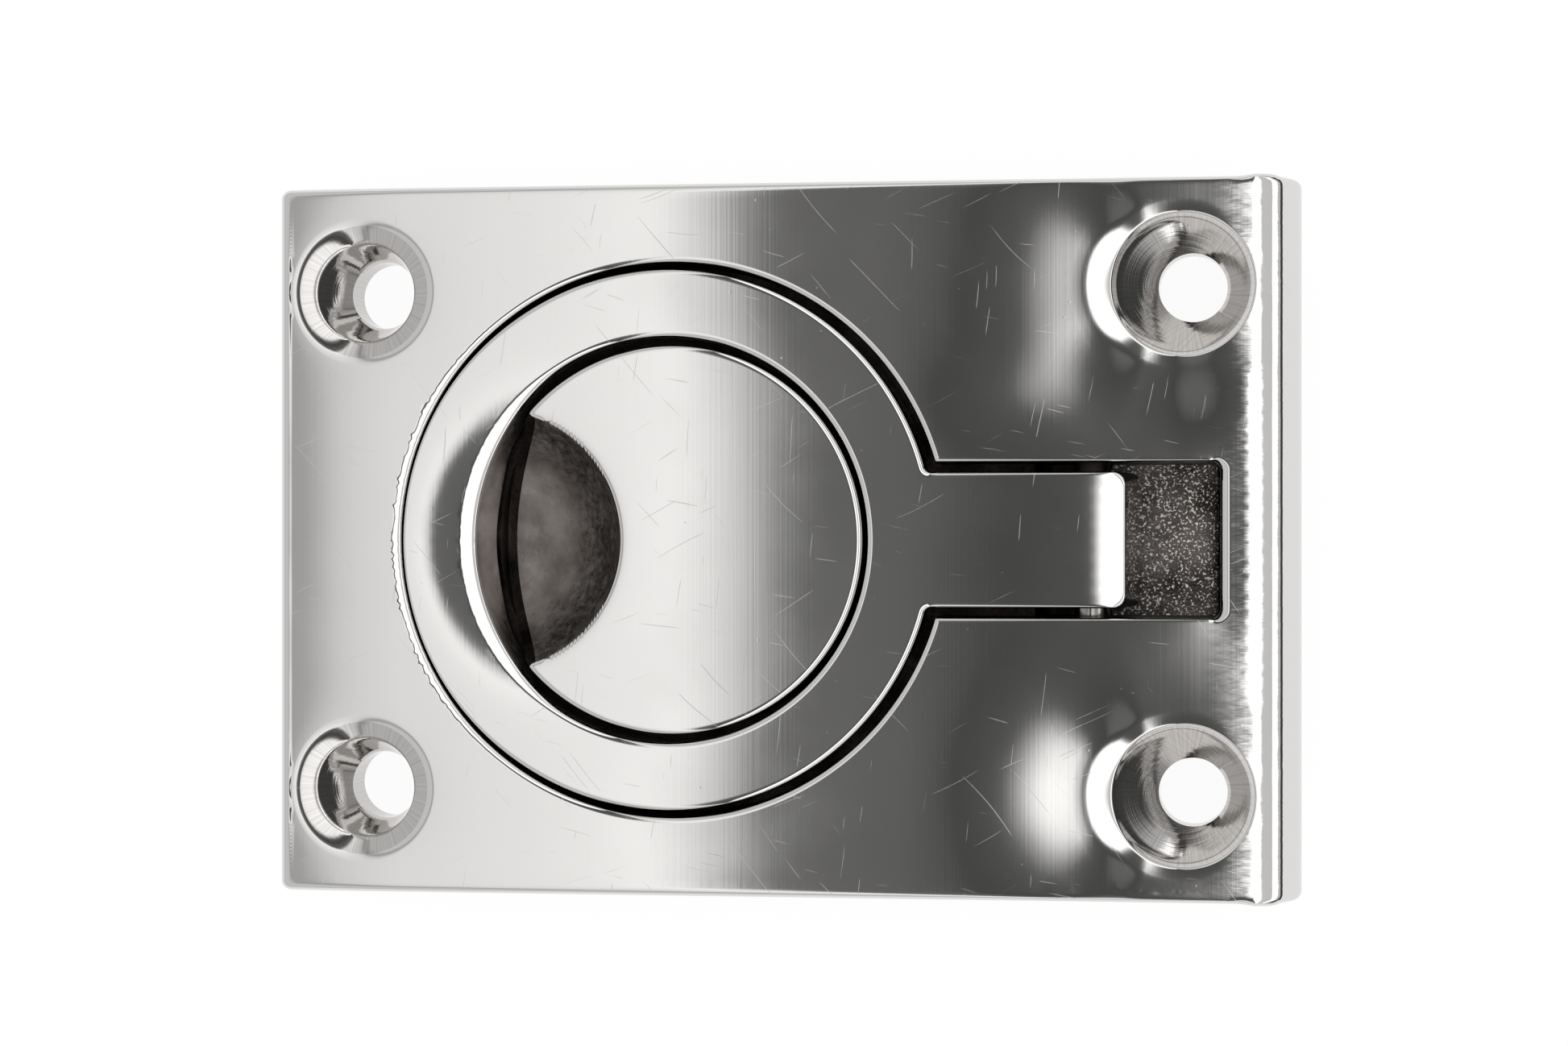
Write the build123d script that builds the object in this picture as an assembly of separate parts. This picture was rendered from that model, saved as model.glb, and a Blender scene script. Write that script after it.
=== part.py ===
from build123d import *
import math
import os

# Flush lift ring: a cast base plate with a keyhole recess, a cast ring with a stem,
# and the cross pin that hinges the stem. Millimetres.
# +X runs from the finger scoop to the hinge, +Z points out of the face, and the
# origin is the centre of the screw pattern on the underside of the flange.

# Flange
PLATE_LENGTH = 65.0
PLATE_WIDTH = 45.0
FLANGE_THICKNESS = 4.5
HINGE_EDGE_ROUND = 3.0
FREE_EDGE_ROUND = 0.8
CORNER_ROUND = 0.6

# Screw holes
SCREW_TO_FREE_EDGE = 5.7
SCREW_TO_HINGE_EDGE = 7.3
SCREW_TO_SIDE = 6.75
SCREW_HOLE_DIAMETER = 4.3
COUNTERSINK_DIAMETER = 8.6
COUNTERSINK_ANGLE = 90.0

# Keyhole recess, centred at a share of the length from the free edge
RECESS_PLACE_RATIO = 0.3938
RECESS_TO_SIDE = 5.1
RECESS_DEPTH = 4.0
MOUTH_ROUND = 0.35

# Finger scoop, a ball-shaped hollow in the free side of the island
SCOOP_INSET = 0.8
SCOOP_MOUTH_RADIUS = 8.2
SCOOP_DEPTH = 5.5

# Ring round the island, which lies nearer the free edge than the recess does
RING_BAND_WIDTH = 4.25
RING_SET_BACK = 0.27
RING_SIDE_CLEARANCE = 0.4
ISLAND_CLEARANCE = 0.53
RING_THICKNESS = 3.6
RING_EDGE_ROUND = 0.35
RING_FOOT_ROUND = 0.5

# Stem and heel. The heel's end leans out towards its foot, as it left the mould
STEM_WIDTH = 8.45
STEM_SIDE_CLEARANCE = 0.575
STEM_ROOT_ROUND = 0.4
HEEL_TO_PIN = 2.15
HEEL_FLARE = 1.0
HEEL_ROUND = 0.5
HEEL_CORNER_ROUND = 0.75

# Shallow dish that leads a fingertip over the ring's inner edge
DISH_REACH = 2.05
DISH_MOUTH_RADIUS = 10.2
DISH_SPHERE_RADIUS = 75.0

# Hinge pin, driven in from one long edge
PIN_DEPTH = 2.4
PIN_DIAMETER = 2.2
PIN_RUNNING_CLEARANCE = 0.05
PIN_SEAT_CLEARANCE = 0.01
PIN_FAR_SEAT = 4.0

# Window behind the heel, and the trough that the heel turns down into
WINDOW_TO_HINGE_EDGE = 5.0
WINDOW_LENGTH = 5.9
WELL_CLEARANCE = 0.4
WELL_CORNER_ROUND = 1.2
TROUGH_ROUND = 1.6
WINDOW_CORNER_ROUND = 0.5

# Underside pan
PAN_WALL = 1.8
PAN_FLOOR = 1.6
PAN_EDGE_ROUND = 1.0

# How far a cutter runs past the face it opens, and how near counts as level
OVERRUN = 1.0
LEVEL = 0.01

# Heights and stations worked out from the sizes above
FACE_Z = FLANGE_THICKNESS
SCREW_PITCH_X = PLATE_LENGTH - SCREW_TO_FREE_EDGE - SCREW_TO_HINGE_EDGE
SCREW_PITCH_Y = PLATE_WIDTH - 2 * SCREW_TO_SIDE
FREE_EDGE_X = -(SCREW_PITCH_X / 2 + SCREW_TO_FREE_EDGE)

RECESS_CENTRE_X = FREE_EDGE_X + RECESS_PLACE_RATIO * PLATE_LENGTH
RECESS_RADIUS = PLATE_WIDTH / 2 - RECESS_TO_SIDE
RECESS_FLOOR_Z = FACE_Z - RECESS_DEPTH
RING_CENTRE_X = RECESS_CENTRE_X - RING_SET_BACK
RING_OUTER_RADIUS = RECESS_RADIUS - RING_SIDE_CLEARANCE
RING_INNER_RADIUS = RING_OUTER_RADIUS - RING_BAND_WIDTH
RING_UNDER_Z = FACE_Z - RING_THICKNESS
ISLAND_RADIUS = RING_INNER_RADIUS - ISLAND_CLEARANCE
SCOOP_CENTRE_X = RECESS_CENTRE_X - ISLAND_RADIUS + SCOOP_INSET
DISH_CENTRE_X = RING_CENTRE_X - RING_INNER_RADIUS - DISH_REACH + DISH_MOUTH_RADIUS

SLOT_WIDTH = STEM_WIDTH + 2 * STEM_SIDE_CLEARANCE
SLOT_END_X = FREE_EDGE_X + PLATE_LENGTH - WINDOW_TO_HINGE_EDGE
HEEL_X = SLOT_END_X - WINDOW_LENGTH
HEEL_FOOT_X = HEEL_X + HEEL_FLARE
PIN_X = HEEL_X - HEEL_TO_PIN
PIN_Z = FACE_Z - PIN_DEPTH
PIN_FAR_END_Y = SLOT_WIDTH / 2 + PIN_FAR_SEAT

# The corners of the heel sweep circles round the pin, and the well clears the larger
HEEL_FOOT_SWEEP = math.hypot(HEEL_FOOT_X - PIN_X, RING_THICKNESS - PIN_DEPTH)
HEEL_TOP_SWEEP = HEEL_ROUND + math.hypot(HEEL_TO_PIN - HEEL_ROUND, PIN_DEPTH - HEEL_ROUND)
HEEL_SWEEP = max(HEEL_FOOT_SWEEP, HEEL_TOP_SWEEP)
WELL_DEPTH = PIN_DEPTH + HEEL_SWEEP + WELL_CLEARANCE
WELL_FLOOR_Z = FACE_Z - WELL_DEPTH
WELL_START_X = PIN_X - HEEL_SWEEP - WELL_CLEARANCE
PAN_BOTTOM_Z = FACE_Z - max(WELL_DEPTH, SCOOP_DEPTH) - PAN_FLOOR


def standing_cylinder(radius, centre_x, z_from, z_to):
    """A cylinder standing on the centre line, between two heights."""
    return Pos(centre_x, 0, (z_from + z_to) / 2) * Cylinder(radius, z_to - z_from)


def hinge_cylinder(radius, y_from, y_to):
    """A cylinder on the hinge axis, which runs across the plate."""
    return Pos(PIN_X, (y_from + y_to) / 2, PIN_Z) * Rot(X=90) * Cylinder(radius, y_to - y_from)


def strip(x_from, x_to, width):
    """A rectangle along the centre line, seen from above."""
    return Pos((x_from + x_to) / 2, 0) * Rectangle(x_to - x_from, width)


def side_face(x_from, x_to, z_from, z_to):
    """A rectangle in the lengthwise section of the plate."""
    centre = Pos((x_from + x_to) / 2, (z_from + z_to) / 2)
    return Plane.XZ * centre * Rectangle(x_to - x_from, z_to - z_from)


def corner_of(face, right, top):
    """One corner of a lengthwise section."""
    column = face.vertices().group_by(Axis.X)[-1 if right else 0]
    return column.sort_by(Axis.Z)[-1 if top else 0]


def faces_level_with(body, height):
    """The flat faces of a body at one height, the largest first."""
    flat = body.faces().filter_by(Axis.Z)
    level = [face for face in flat if abs(face.center().Z - height) < LEVEL]
    return sorted(level, key=lambda face: -face.area)


def flange():
    """The flat plate, bullnosed at the hinge end and lightly rounded elsewhere."""
    side = side_face(FREE_EDGE_X, FREE_EDGE_X + PLATE_LENGTH, 0, FACE_Z)
    side = fillet(corner_of(side, right=False, top=True), FREE_EDGE_ROUND)
    side = fillet(corner_of(side, right=True, top=True), HINGE_EDGE_ROUND)
    plate = extrude(side, PLATE_WIDTH / 2, both=True)
    outlines = plate.faces().filter_by(Axis.Y).edges()
    return fillet([edge for edge in outlines if edge.center().Z > LEVEL], CORNER_ROUND)


def pan():
    """The closed pan under the flange, round the recess and the hinge well."""
    outline = Pos(RECESS_CENTRE_X, 0) * Circle(RECESS_RADIUS + PAN_WALL)
    outline += strip(RECESS_CENTRE_X, SLOT_END_X + PAN_WALL, SLOT_WIDTH + 2 * PAN_WALL)
    outline = fillet(outline.vertices().group_by(Axis.X)[-1], WINDOW_CORNER_ROUND + PAN_WALL)
    body = Pos(0, 0, PAN_BOTTOM_Z) * extrude(outline, FACE_Z / 2 - PAN_BOTTOM_Z)
    return fillet(body.edges().group_by(Axis.Z)[0], PAN_EDGE_ROUND)


def ring_groove():
    """The round part of the keyhole, which leaves the island standing."""
    top_z = FACE_Z + OVERRUN
    pocket = standing_cylinder(RECESS_RADIUS, RECESS_CENTRE_X, RECESS_FLOOR_Z, top_z)
    return pocket - standing_cylinder(ISLAND_RADIUS, RECESS_CENTRE_X, RECESS_FLOOR_Z, top_z)


def stem_slot():
    """The straight part of the keyhole: the stem's seat and the trough at its end."""
    start_x = RECESS_CENTRE_X + (ISLAND_RADIUS + RECESS_RADIUS) / 2
    top_z = FACE_Z + OVERRUN
    plan = strip(start_x, SLOT_END_X, SLOT_WIDTH)
    plan = fillet(plan.vertices().group_by(Axis.X)[-1], WINDOW_CORNER_ROUND)
    shaft = Pos(0, 0, WELL_FLOOR_Z) * extrude(plan, top_z - WELL_FLOOR_Z)
    seat = side_face(start_x, SLOT_END_X, RECESS_FLOOR_Z, top_z)
    well = side_face(WELL_START_X, SLOT_END_X, WELL_FLOOR_Z, top_z)
    well = fillet(corner_of(well, right=False, top=False), WELL_CORNER_ROUND)
    well = fillet(corner_of(well, right=True, top=False), TROUGH_ROUND)
    return shaft & extrude(seat + well, SLOT_WIDTH, both=True)


def finger_scoop():
    """The ball-shaped hollow, which stays within the island's footprint."""
    ball_radius = (SCOOP_MOUTH_RADIUS**2 + SCOOP_DEPTH**2) / (2 * SCOOP_DEPTH)
    lowest_z = FACE_Z - SCOOP_DEPTH
    ball = Pos(SCOOP_CENTRE_X, 0, lowest_z + ball_radius) * Sphere(ball_radius)
    footprint = standing_cylinder(
        ISLAND_RADIUS, RECESS_CENTRE_X, lowest_z - OVERRUN, FACE_Z + OVERRUN
    )
    return ball & footprint


def screw_holes():
    """Cutters for the four countersunk holes."""
    hole_radius = SCREW_HOLE_DIAMETER / 2
    sink_radius = COUNTERSINK_DIAMETER / 2
    sink_depth = (sink_radius - hole_radius) / math.tan(math.radians(COUNTERSINK_ANGLE / 2))
    drill = standing_cylinder(hole_radius, 0, -OVERRUN, FACE_Z + OVERRUN)
    sink = Pos(0, 0, FACE_Z - sink_depth / 2) * Cone(hole_radius, sink_radius, sink_depth)
    return GridLocations(SCREW_PITCH_X, SCREW_PITCH_Y, 2, 2) * (drill + sink)


def keyhole_rim(body):
    """The sharp edges round the keyhole's mouth."""
    mouths = faces_level_with(body, FACE_Z)[0].inner_wires()
    return max(mouths, key=lambda wire: wire.length).edges()


def island_rim(body):
    """The sharp edges round the island's top, along the scoop too."""
    return faces_level_with(body, FACE_Z)[1].outer_wire().edges()


def base_plate():
    """The base casting, drilled for the screws and, from one long edge, for the pin."""
    body = flange() + pan()
    body = body - ring_groove() - stem_slot() - finger_scoop()
    body = fillet(keyhole_rim(body), MOUTH_ROUND)
    body = fillet(island_rim(body), MOUTH_ROUND)
    seat_radius = PIN_DIAMETER / 2 + PIN_SEAT_CLEARANCE
    pin_bore = hinge_cylinder(seat_radius, -PLATE_WIDTH / 2 - OVERRUN, PIN_FAR_END_Y)
    return body - screw_holes() - pin_bore


def ring_plan():
    """The ring and its stem seen from above, with rounded roots and heel corners."""
    band = Circle(RING_OUTER_RADIUS) - Circle(RING_INNER_RADIUS)
    stem_start_x = RING_CENTRE_X + (RING_OUTER_RADIUS + RING_INNER_RADIUS) / 2
    plan = Pos(RING_CENTRE_X, 0) * band + strip(stem_start_x, HEEL_FOOT_X, STEM_WIDTH)
    roots = [v for v in plan.vertices() if stem_start_x < v.X < PIN_X and abs(v.Y) > LEVEL]
    plan = fillet(roots, STEM_ROOT_ROUND)
    return fillet(plan.vertices().group_by(Axis.X)[-1], HEEL_CORNER_ROUND)


def ring_side():
    """The lengthwise section of the ring: flat, up to the rounded and flared heel."""
    start_x = RING_CENTRE_X - RING_OUTER_RADIUS - OVERRUN
    foot = (HEEL_FOOT_X, RING_UNDER_Z)
    crown = (HEEL_X, FACE_Z)
    outline = Polyline((start_x, RING_UNDER_Z), foot, crown, (start_x, FACE_Z), close=True)
    section = Plane.XZ * make_face(outline)
    section = fillet(corner_of(section, right=True, top=False), RING_FOOT_ROUND)
    crowns = [v for v in section.vertices() if v.X > PIN_X and FACE_Z - v.Z < LEVEL]
    return fillet(crowns, HEEL_ROUND)


def ring_rims(body):
    """The sharp edges round the ring's top face, up to where the heel rounds off."""
    heel_crown_x = HEEL_X - HEEL_ROUND
    return [edge for edge in faces_level_with(body, FACE_Z)[0].edges() if edge.center().X < heel_crown_x]


def lift_ring():
    """The cast ring with its stem, dished at the free side and bored for the pin."""
    body = Pos(0, 0, RING_UNDER_Z) * extrude(ring_plan(), RING_THICKNESS)
    body = body & extrude(ring_side(), RING_OUTER_RADIUS + OVERRUN, both=True)
    body = fillet(ring_rims(body), RING_EDGE_ROUND)
    ball_z = FACE_Z + math.sqrt(DISH_SPHERE_RADIUS**2 - DISH_MOUTH_RADIUS**2)
    body = body - Pos(DISH_CENTRE_X, 0, ball_z) * Sphere(DISH_SPHERE_RADIUS)
    bore_radius = PIN_DIAMETER / 2 + PIN_RUNNING_CLEARANCE
    return body - hinge_cylinder(bore_radius, -STEM_WIDTH, STEM_WIDTH)


def hinge_pin():
    """The plain rod the stem turns on, dressed flush with the long edge."""
    return hinge_cylinder(PIN_DIAMETER / 2, -PLATE_WIDTH / 2, PIN_FAR_END_Y)


def main():
    """Writes each piece to its own file."""
    os.makedirs("parts", exist_ok=True)
    for make in (base_plate, lift_ring, hinge_pin):
        export_step(make(), os.path.join("parts", make.__name__ + ".step"))


if __name__ == "__main__":
    main()
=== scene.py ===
"""Flush lift ring in mirror-polished cast stainless steel, dressed for its product photograph.

The two castings are rebuilt as closed skins over their solids, with the softened rims, eased
faces and shallow dips that a polishing mop leaves, and the pin is a chamfered rod.
Lengths are in millimetres until a skin becomes a mesh.
"""

import logging
import math
from collections.abc import Callable, Iterable, Sequence
from dataclasses import dataclass, field
from enum import Enum

import bmesh
import bpy
import numpy as np
from mathutils import Euler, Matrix, Vector, geometry, noise


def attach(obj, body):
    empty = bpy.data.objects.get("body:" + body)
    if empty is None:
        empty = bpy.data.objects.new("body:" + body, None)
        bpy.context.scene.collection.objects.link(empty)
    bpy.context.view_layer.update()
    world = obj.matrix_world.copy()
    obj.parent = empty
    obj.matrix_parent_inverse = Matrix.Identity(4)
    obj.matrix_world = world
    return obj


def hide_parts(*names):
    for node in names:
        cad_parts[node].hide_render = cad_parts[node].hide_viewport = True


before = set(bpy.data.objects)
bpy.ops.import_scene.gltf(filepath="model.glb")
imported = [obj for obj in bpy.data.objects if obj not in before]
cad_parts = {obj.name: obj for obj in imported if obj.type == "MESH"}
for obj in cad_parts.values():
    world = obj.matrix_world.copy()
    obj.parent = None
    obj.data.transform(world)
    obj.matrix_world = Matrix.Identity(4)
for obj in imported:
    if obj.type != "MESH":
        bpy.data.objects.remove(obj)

logging.basicConfig(level=logging.INFO, format="%(levelname)s %(message)s")
LOG = logging.getLogger("flush_lift_ring")

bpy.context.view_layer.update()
MM = 0.001

PIN_SIDES = 48
SINK_SIDES = 120
ISLAND_SIDES = 480
# How squarely an edge has to face the free side to be worn, from not at all to fully
FREE_SIDE = (0.45, 0.97)

Rows = list[np.ndarray]
Table = tuple[tuple[float, float], ...]


class Skin(Enum):
    """How each part of a casting is finished; the value is its material index."""

    POLISHED = 0
    AS_CAST = 1
    MACHINED = 2
    TUMBLED = 3
    # GROOVE's metal is near black: painted shade on the recess's walls and floor, not a finish of the
    # metal
    GROOVE = 4
    TROUGH = 5


# ---------------------------------------------------------------- outlines


def arc(cx: float, cy: float, rx: float, ry: float, start: float, end: float, n: int) -> np.ndarray:
    """Points on an elliptical arc.

    Args:
        cx, cy: The centre.
        rx, ry: The two half axes.
        start, end: Angles in radians, anticlockwise from +X.
        n: How many points, both ends included.

    Returns:
        An (n, 2) array.
    """
    a = np.linspace(start, end, n)
    return np.column_stack([cx + rx * np.cos(a), cy + ry * np.sin(a)])


def circle(x: float, y: float, radius: float, n: int, start: float = 0.0) -> np.ndarray:
    """n points round a circle, as an (n, 2) loop whose first point is at an angle in radians."""
    return arc(x, y, radius, radius, start, start + 2 * math.pi, n + 1)[:-1]


def straight(x0: float, y0: float, x1: float, y1: float, n: int) -> np.ndarray:
    """Points along a line, both ends included, as an (n, 2) array."""
    return np.column_stack([np.linspace(x0, x1, n), np.linspace(y0, y1, n)])


def chained(*runs: np.ndarray) -> np.ndarray:
    """Runs joined end to end, with the point that two of them share kept once."""
    kept = [run[:-1] for run in runs]
    return np.vstack(kept)


def lifted(flat: np.ndarray, z: np.ndarray | float) -> np.ndarray:
    """Points given one more coordinate, such as a flat outline its heights."""
    return np.column_stack([flat, np.broadcast_to(z, len(flat))])


def smooth_step(value: np.ndarray | float, low: float, high: float) -> np.ndarray:
    """0 below low, 1 above high, and a smooth rise between them."""
    t = np.clip((np.asarray(value, float) - low) / (high - low), 0, 1)
    return t * t * (3 - 2 * t)


def quarter(n: int) -> list[tuple[float, float]]:
    """A rounded edge in n steps: how far in it still is, and how far down it has come."""
    angles = np.linspace(0, math.pi / 2, n + 1)
    return [(1 - math.sin(a), 1 - math.cos(a)) for a in angles]


def fallen(tilts: Sequence[tuple[float, float]]) -> tuple[np.ndarray, np.ndarray]:
    """Turns a table of tilts into one of depths.

    Args:
        tilts: Places along a line, lowest first, with the surface's tilt there in degrees.

    Returns:
        Fine places, and how far the surface at each lies below its far end.
    """
    places, degrees = np.array(tilts).T
    fine = np.linspace(places[0], places[-1], 600)
    slope = np.tan(np.radians(np.interp(fine, places, degrees)))
    steps = np.diff(fine) * (slope[1:] + slope[:-1]) / 2
    return fine, np.concatenate([np.cumsum(steps[::-1])[::-1], [0.0]])


def eased(rounding: float, worn: Sequence[tuple[float, float]],
          share: np.ndarray) -> list[tuple[np.ndarray, np.ndarray]]:
    """Rows of an edge that is plainly rounded in one place and worn wide in another.

    Args:
        rounding: The plain radius.
        worn: How far in the worn edge still is, and how far down it has come, row by row.
        share: How worn the edge is at each point along it.

    Returns:
        The same two distances for each row, point by point.
    """
    plain = quarter(len(worn) - 1)
    return [(rounding * out * (1 - share) + wide * share, rounding * down * (1 - share) + drop * share)
            for (out, down), (wide, drop) in zip(plain, worn)]


# ---------------------------------------------------------------- skins


class Casting:
    """Collects the bands and patches of one closed skin, and turns them into a mesh."""

    def __init__(self, name: str) -> None:
        """Starts an empty skin under the name its object will have."""
        self.name = name
        self.points: list[np.ndarray] = []
        self.faces: list[tuple[int, ...]] = []
        self.skins: list[int] = []
        self.count = 0

    def _add(self, points: np.ndarray) -> int:
        """Takes in points and returns the index of the first."""
        first = self.count
        self.points.append(np.asarray(points, float))
        self.count += len(points)
        return first

    def band(self, rows: Rows, skin: Skin, closed: bool = True) -> None:
        """Joins rows of equal length with four-sided faces.

        Args:
            rows: (n, 3) arrays, each next to the one before.
            skin: The finish of the band.
            closed: True where each row is a loop.
        """
        n = len(rows[0])
        firsts = [self._add(row) for row in rows]
        steps = range(n if closed else n - 1)
        for a, b in zip(firsts, firsts[1:]):
            for j in steps:
                k = (j + 1) % n
                self.faces.append((a + j, a + k, b + k, b + j))
                self.skins.append(skin.value)

    def patch(
        self,
        loops: Sequence[np.ndarray],
        inside: np.ndarray,
        skin: Skin,
        plan: Callable[[np.ndarray], np.ndarray] = lambda p: p[:, :2],
    ) -> None:
        """Fills the area between loops with triangles.

        Args:
            loops: (n, 3) closed loops, the outer one and any holes.
            inside: (n, 3) points to use within the area.
            skin: The finish of the patch.
            plan: The two coordinates in which the area is flat.
        """
        cloud = np.vstack([*loops, inside]) if len(inside) else np.vstack(loops)
        edges, at = [], 0
        for loop in loops:
            n = len(loop)
            edges += [(at + j, at + (j + 1) % n) for j in range(n)]
            at += n
        flat = plan(cloud)
        _, _, triangles, sources, _, _ = geometry.delaunay_2d_cdt(
            [Vector(p) for p in flat.tolist()], edges, [], 0, 1e-7, True
        )
        first = self._add(cloud)
        corners = np.array([[sources[v][0] for v in t] for t in triangles])
        middles = flat[corners].mean(axis=1)
        keep = within(middles, [plan(loop) for loop in loops])
        for t in corners[keep]:
            self.faces.append(tuple(int(first + v) for v in t))
            self.skins.append(skin.value)

    def take(self, part: bpy.types.Mesh, skin: Skin) -> None:
        """Takes in the faces of a mesh whose lengths are in millimetres."""
        places = np.empty(len(part.vertices) * 3)
        part.vertices.foreach_get("co", places)
        first = self._add(places.reshape(-1, 3))
        for polygon in part.polygons:
            self.faces.append(tuple(first + v for v in polygon.vertices))
            self.skins.append(skin.value)

    def mesh(self) -> bpy.types.Mesh:
        """The skin as one closed mesh in metres, facing outwards."""
        data = bpy.data.meshes.new(self.name)
        data.from_pydata((np.vstack(self.points) * MM).tolist(), [], self.faces)
        data.polygons.foreach_set("material_index", self.skins)
        body = bmesh.new()
        body.from_mesh(data)
        bmesh.ops.remove_doubles(body, verts=body.verts, dist=2e-6)
        bmesh.ops.dissolve_degenerate(body, edges=body.edges, dist=1e-7)
        bmesh.ops.recalc_face_normals(body, faces=body.faces)
        if body.calc_volume(signed=True) < 0:
            bmesh.ops.reverse_faces(body, faces=body.faces)
        open_edges = sum(1 for edge in body.edges if not edge.is_manifold)
        body.to_mesh(data)
        body.free()
        data.shade_smooth()
        data.set_sharp_from_angle(angle=math.radians(38))
        LOG.info("%s: %d faces, %d open edges", self.name, len(data.polygons), open_edges)
        return data


def within(points: np.ndarray, loops: Iterable[np.ndarray]) -> np.ndarray:
    """Which points lie inside an odd number of loops, as a mask."""
    odd = np.zeros(len(points), bool)
    x, y = points[:, 0], points[:, 1]
    for loop in loops:
        for (x0, y0), (x1, y1) in zip(loop, np.roll(loop, -1, axis=0)):
            if y0 == y1:
                continue
            crosses = (y0 > y) != (y1 > y)
            if crosses.any():
                odd ^= crosses & (x < (x1 - x0) * (y - y0) / (y1 - y0) + x0)
    return odd


def clear_of(points: np.ndarray, loops: Sequence[np.ndarray], gap: float) -> np.ndarray:
    """Which points are at least a gap away from every loop point, as a mask."""
    edge = np.vstack([loop[:, :2] for loop in loops])
    mask = np.ones(len(points), bool)
    for part in np.array_split(np.arange(len(points)), max(1, len(points) // 2000)):
        d = np.hypot(*(points[part, None, :2] - edge[None, :, :]).transpose(2, 0, 1))
        mask[part] = d.min(axis=1) > gap
    return mask


def between(points: np.ndarray, loops: Sequence[np.ndarray], gap: float) -> np.ndarray:
    """The points that lie in the area between loops, at least a gap away from each loop point."""
    points = points[within(points, [loop[:, :2] for loop in loops])]
    return points[clear_of(points, loops, gap)]


def field_points(x0: float, x1: float, y0: float, y1: float, pitch: float) -> np.ndarray:
    """Staggered points that fill a rectangle at a pitch, as an (n, 2) array."""
    rows = np.arange(y0 + pitch / 2, y1, pitch * 0.866)
    starts = [x0 + pitch * (0.5 if i % 2 else 1) for i in range(len(rows))]
    return np.vstack([lifted(np.arange(start, x1, pitch), y) for start, y in zip(starts, rows)])


def drift(points: np.ndarray, wavelength: float, seed: float) -> np.ndarray:
    """Smooth, repeatable noise of about -1 to 1 at each point of a plan."""
    return np.array(
        [noise.noise(Vector((x / wavelength, y / wavelength, seed))) for x, y in points[:, :2]]
    )


# ---------------------------------------------------------------- base plate


@dataclass(frozen=True)
class Countersink:
    """How one pair of screw holes is cut, and how the mop has dished the face round them.

    The tables hold distances with the metal's tilt there in degrees. The rim is measured from
    the hole's middle; the dish and the wide hollow beside it from the dish's own middle.
    """

    x: float
    dish: Table
    rim: Table
    cut_radius: float
    cone_slope: float
    drill_lean: float = 0.55
    dish_x: float = 0.0
    hollow: Table = ()

    def dip(self, dx: np.ndarray, dy: np.ndarray) -> np.ndarray:
        """How far the mop has taken the face down at places measured from the hole."""
        r = np.hypot(dx - self.dish_x, dy)
        depth = np.interp(r, *fallen(self.dish))
        if self.hollow:
            depth += np.interp(r, *fallen(self.hollow)) * smooth_step((self.dish_x - dx) / r, 0.3, 0.92)
        return depth

    def stations(self) -> np.ndarray:
        """The radii of the rim's rows, from the face inwards."""
        radii = np.array(self.rim)[::-1, 0]
        parts = [np.linspace(a, b, 4)[:-1] for a, b in zip(radii, radii[1:])]
        return np.concatenate([*parts, radii[-1:]])


FREE_SINKS = Countersink(
    x=-26.0,
    dish=((4.72, 1.2), (5.6, 0.4), (7.5, 0.0)),
    rim=((3.12, 49), (3.22, 44), (3.35, 21), (3.8, 16), (4.2, 11.5), (4.35, 6.5), (4.55, 2.8),
         (4.72, 1.2)),
    cut_radius=4.22,
    cone_slope=1.8,
)
HINGE_SINKS = Countersink(
    x=26.0,
    dish=((3.6, 15), (3.9, 12.5), (4.15, 10), (4.5, 8), (4.8, 5.5), (5.02, 2.8), (5.2, 0.2), (5.4, 0)),
    rim=((4.1, 43), (4.33, 42), (4.42, 31), (4.5, 15)),
    cut_radius=4.36,
    cone_slope=1.0,
    dish_x=-0.85,
    hollow=((3.6, 0), (5.15, 0), (5.45, 1.6), (6.2, 2.2), (7.4, 2.3), (8.6, 2.0), (10, 1.3),
            (12, 0.5), (14, 0)),
)


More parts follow.
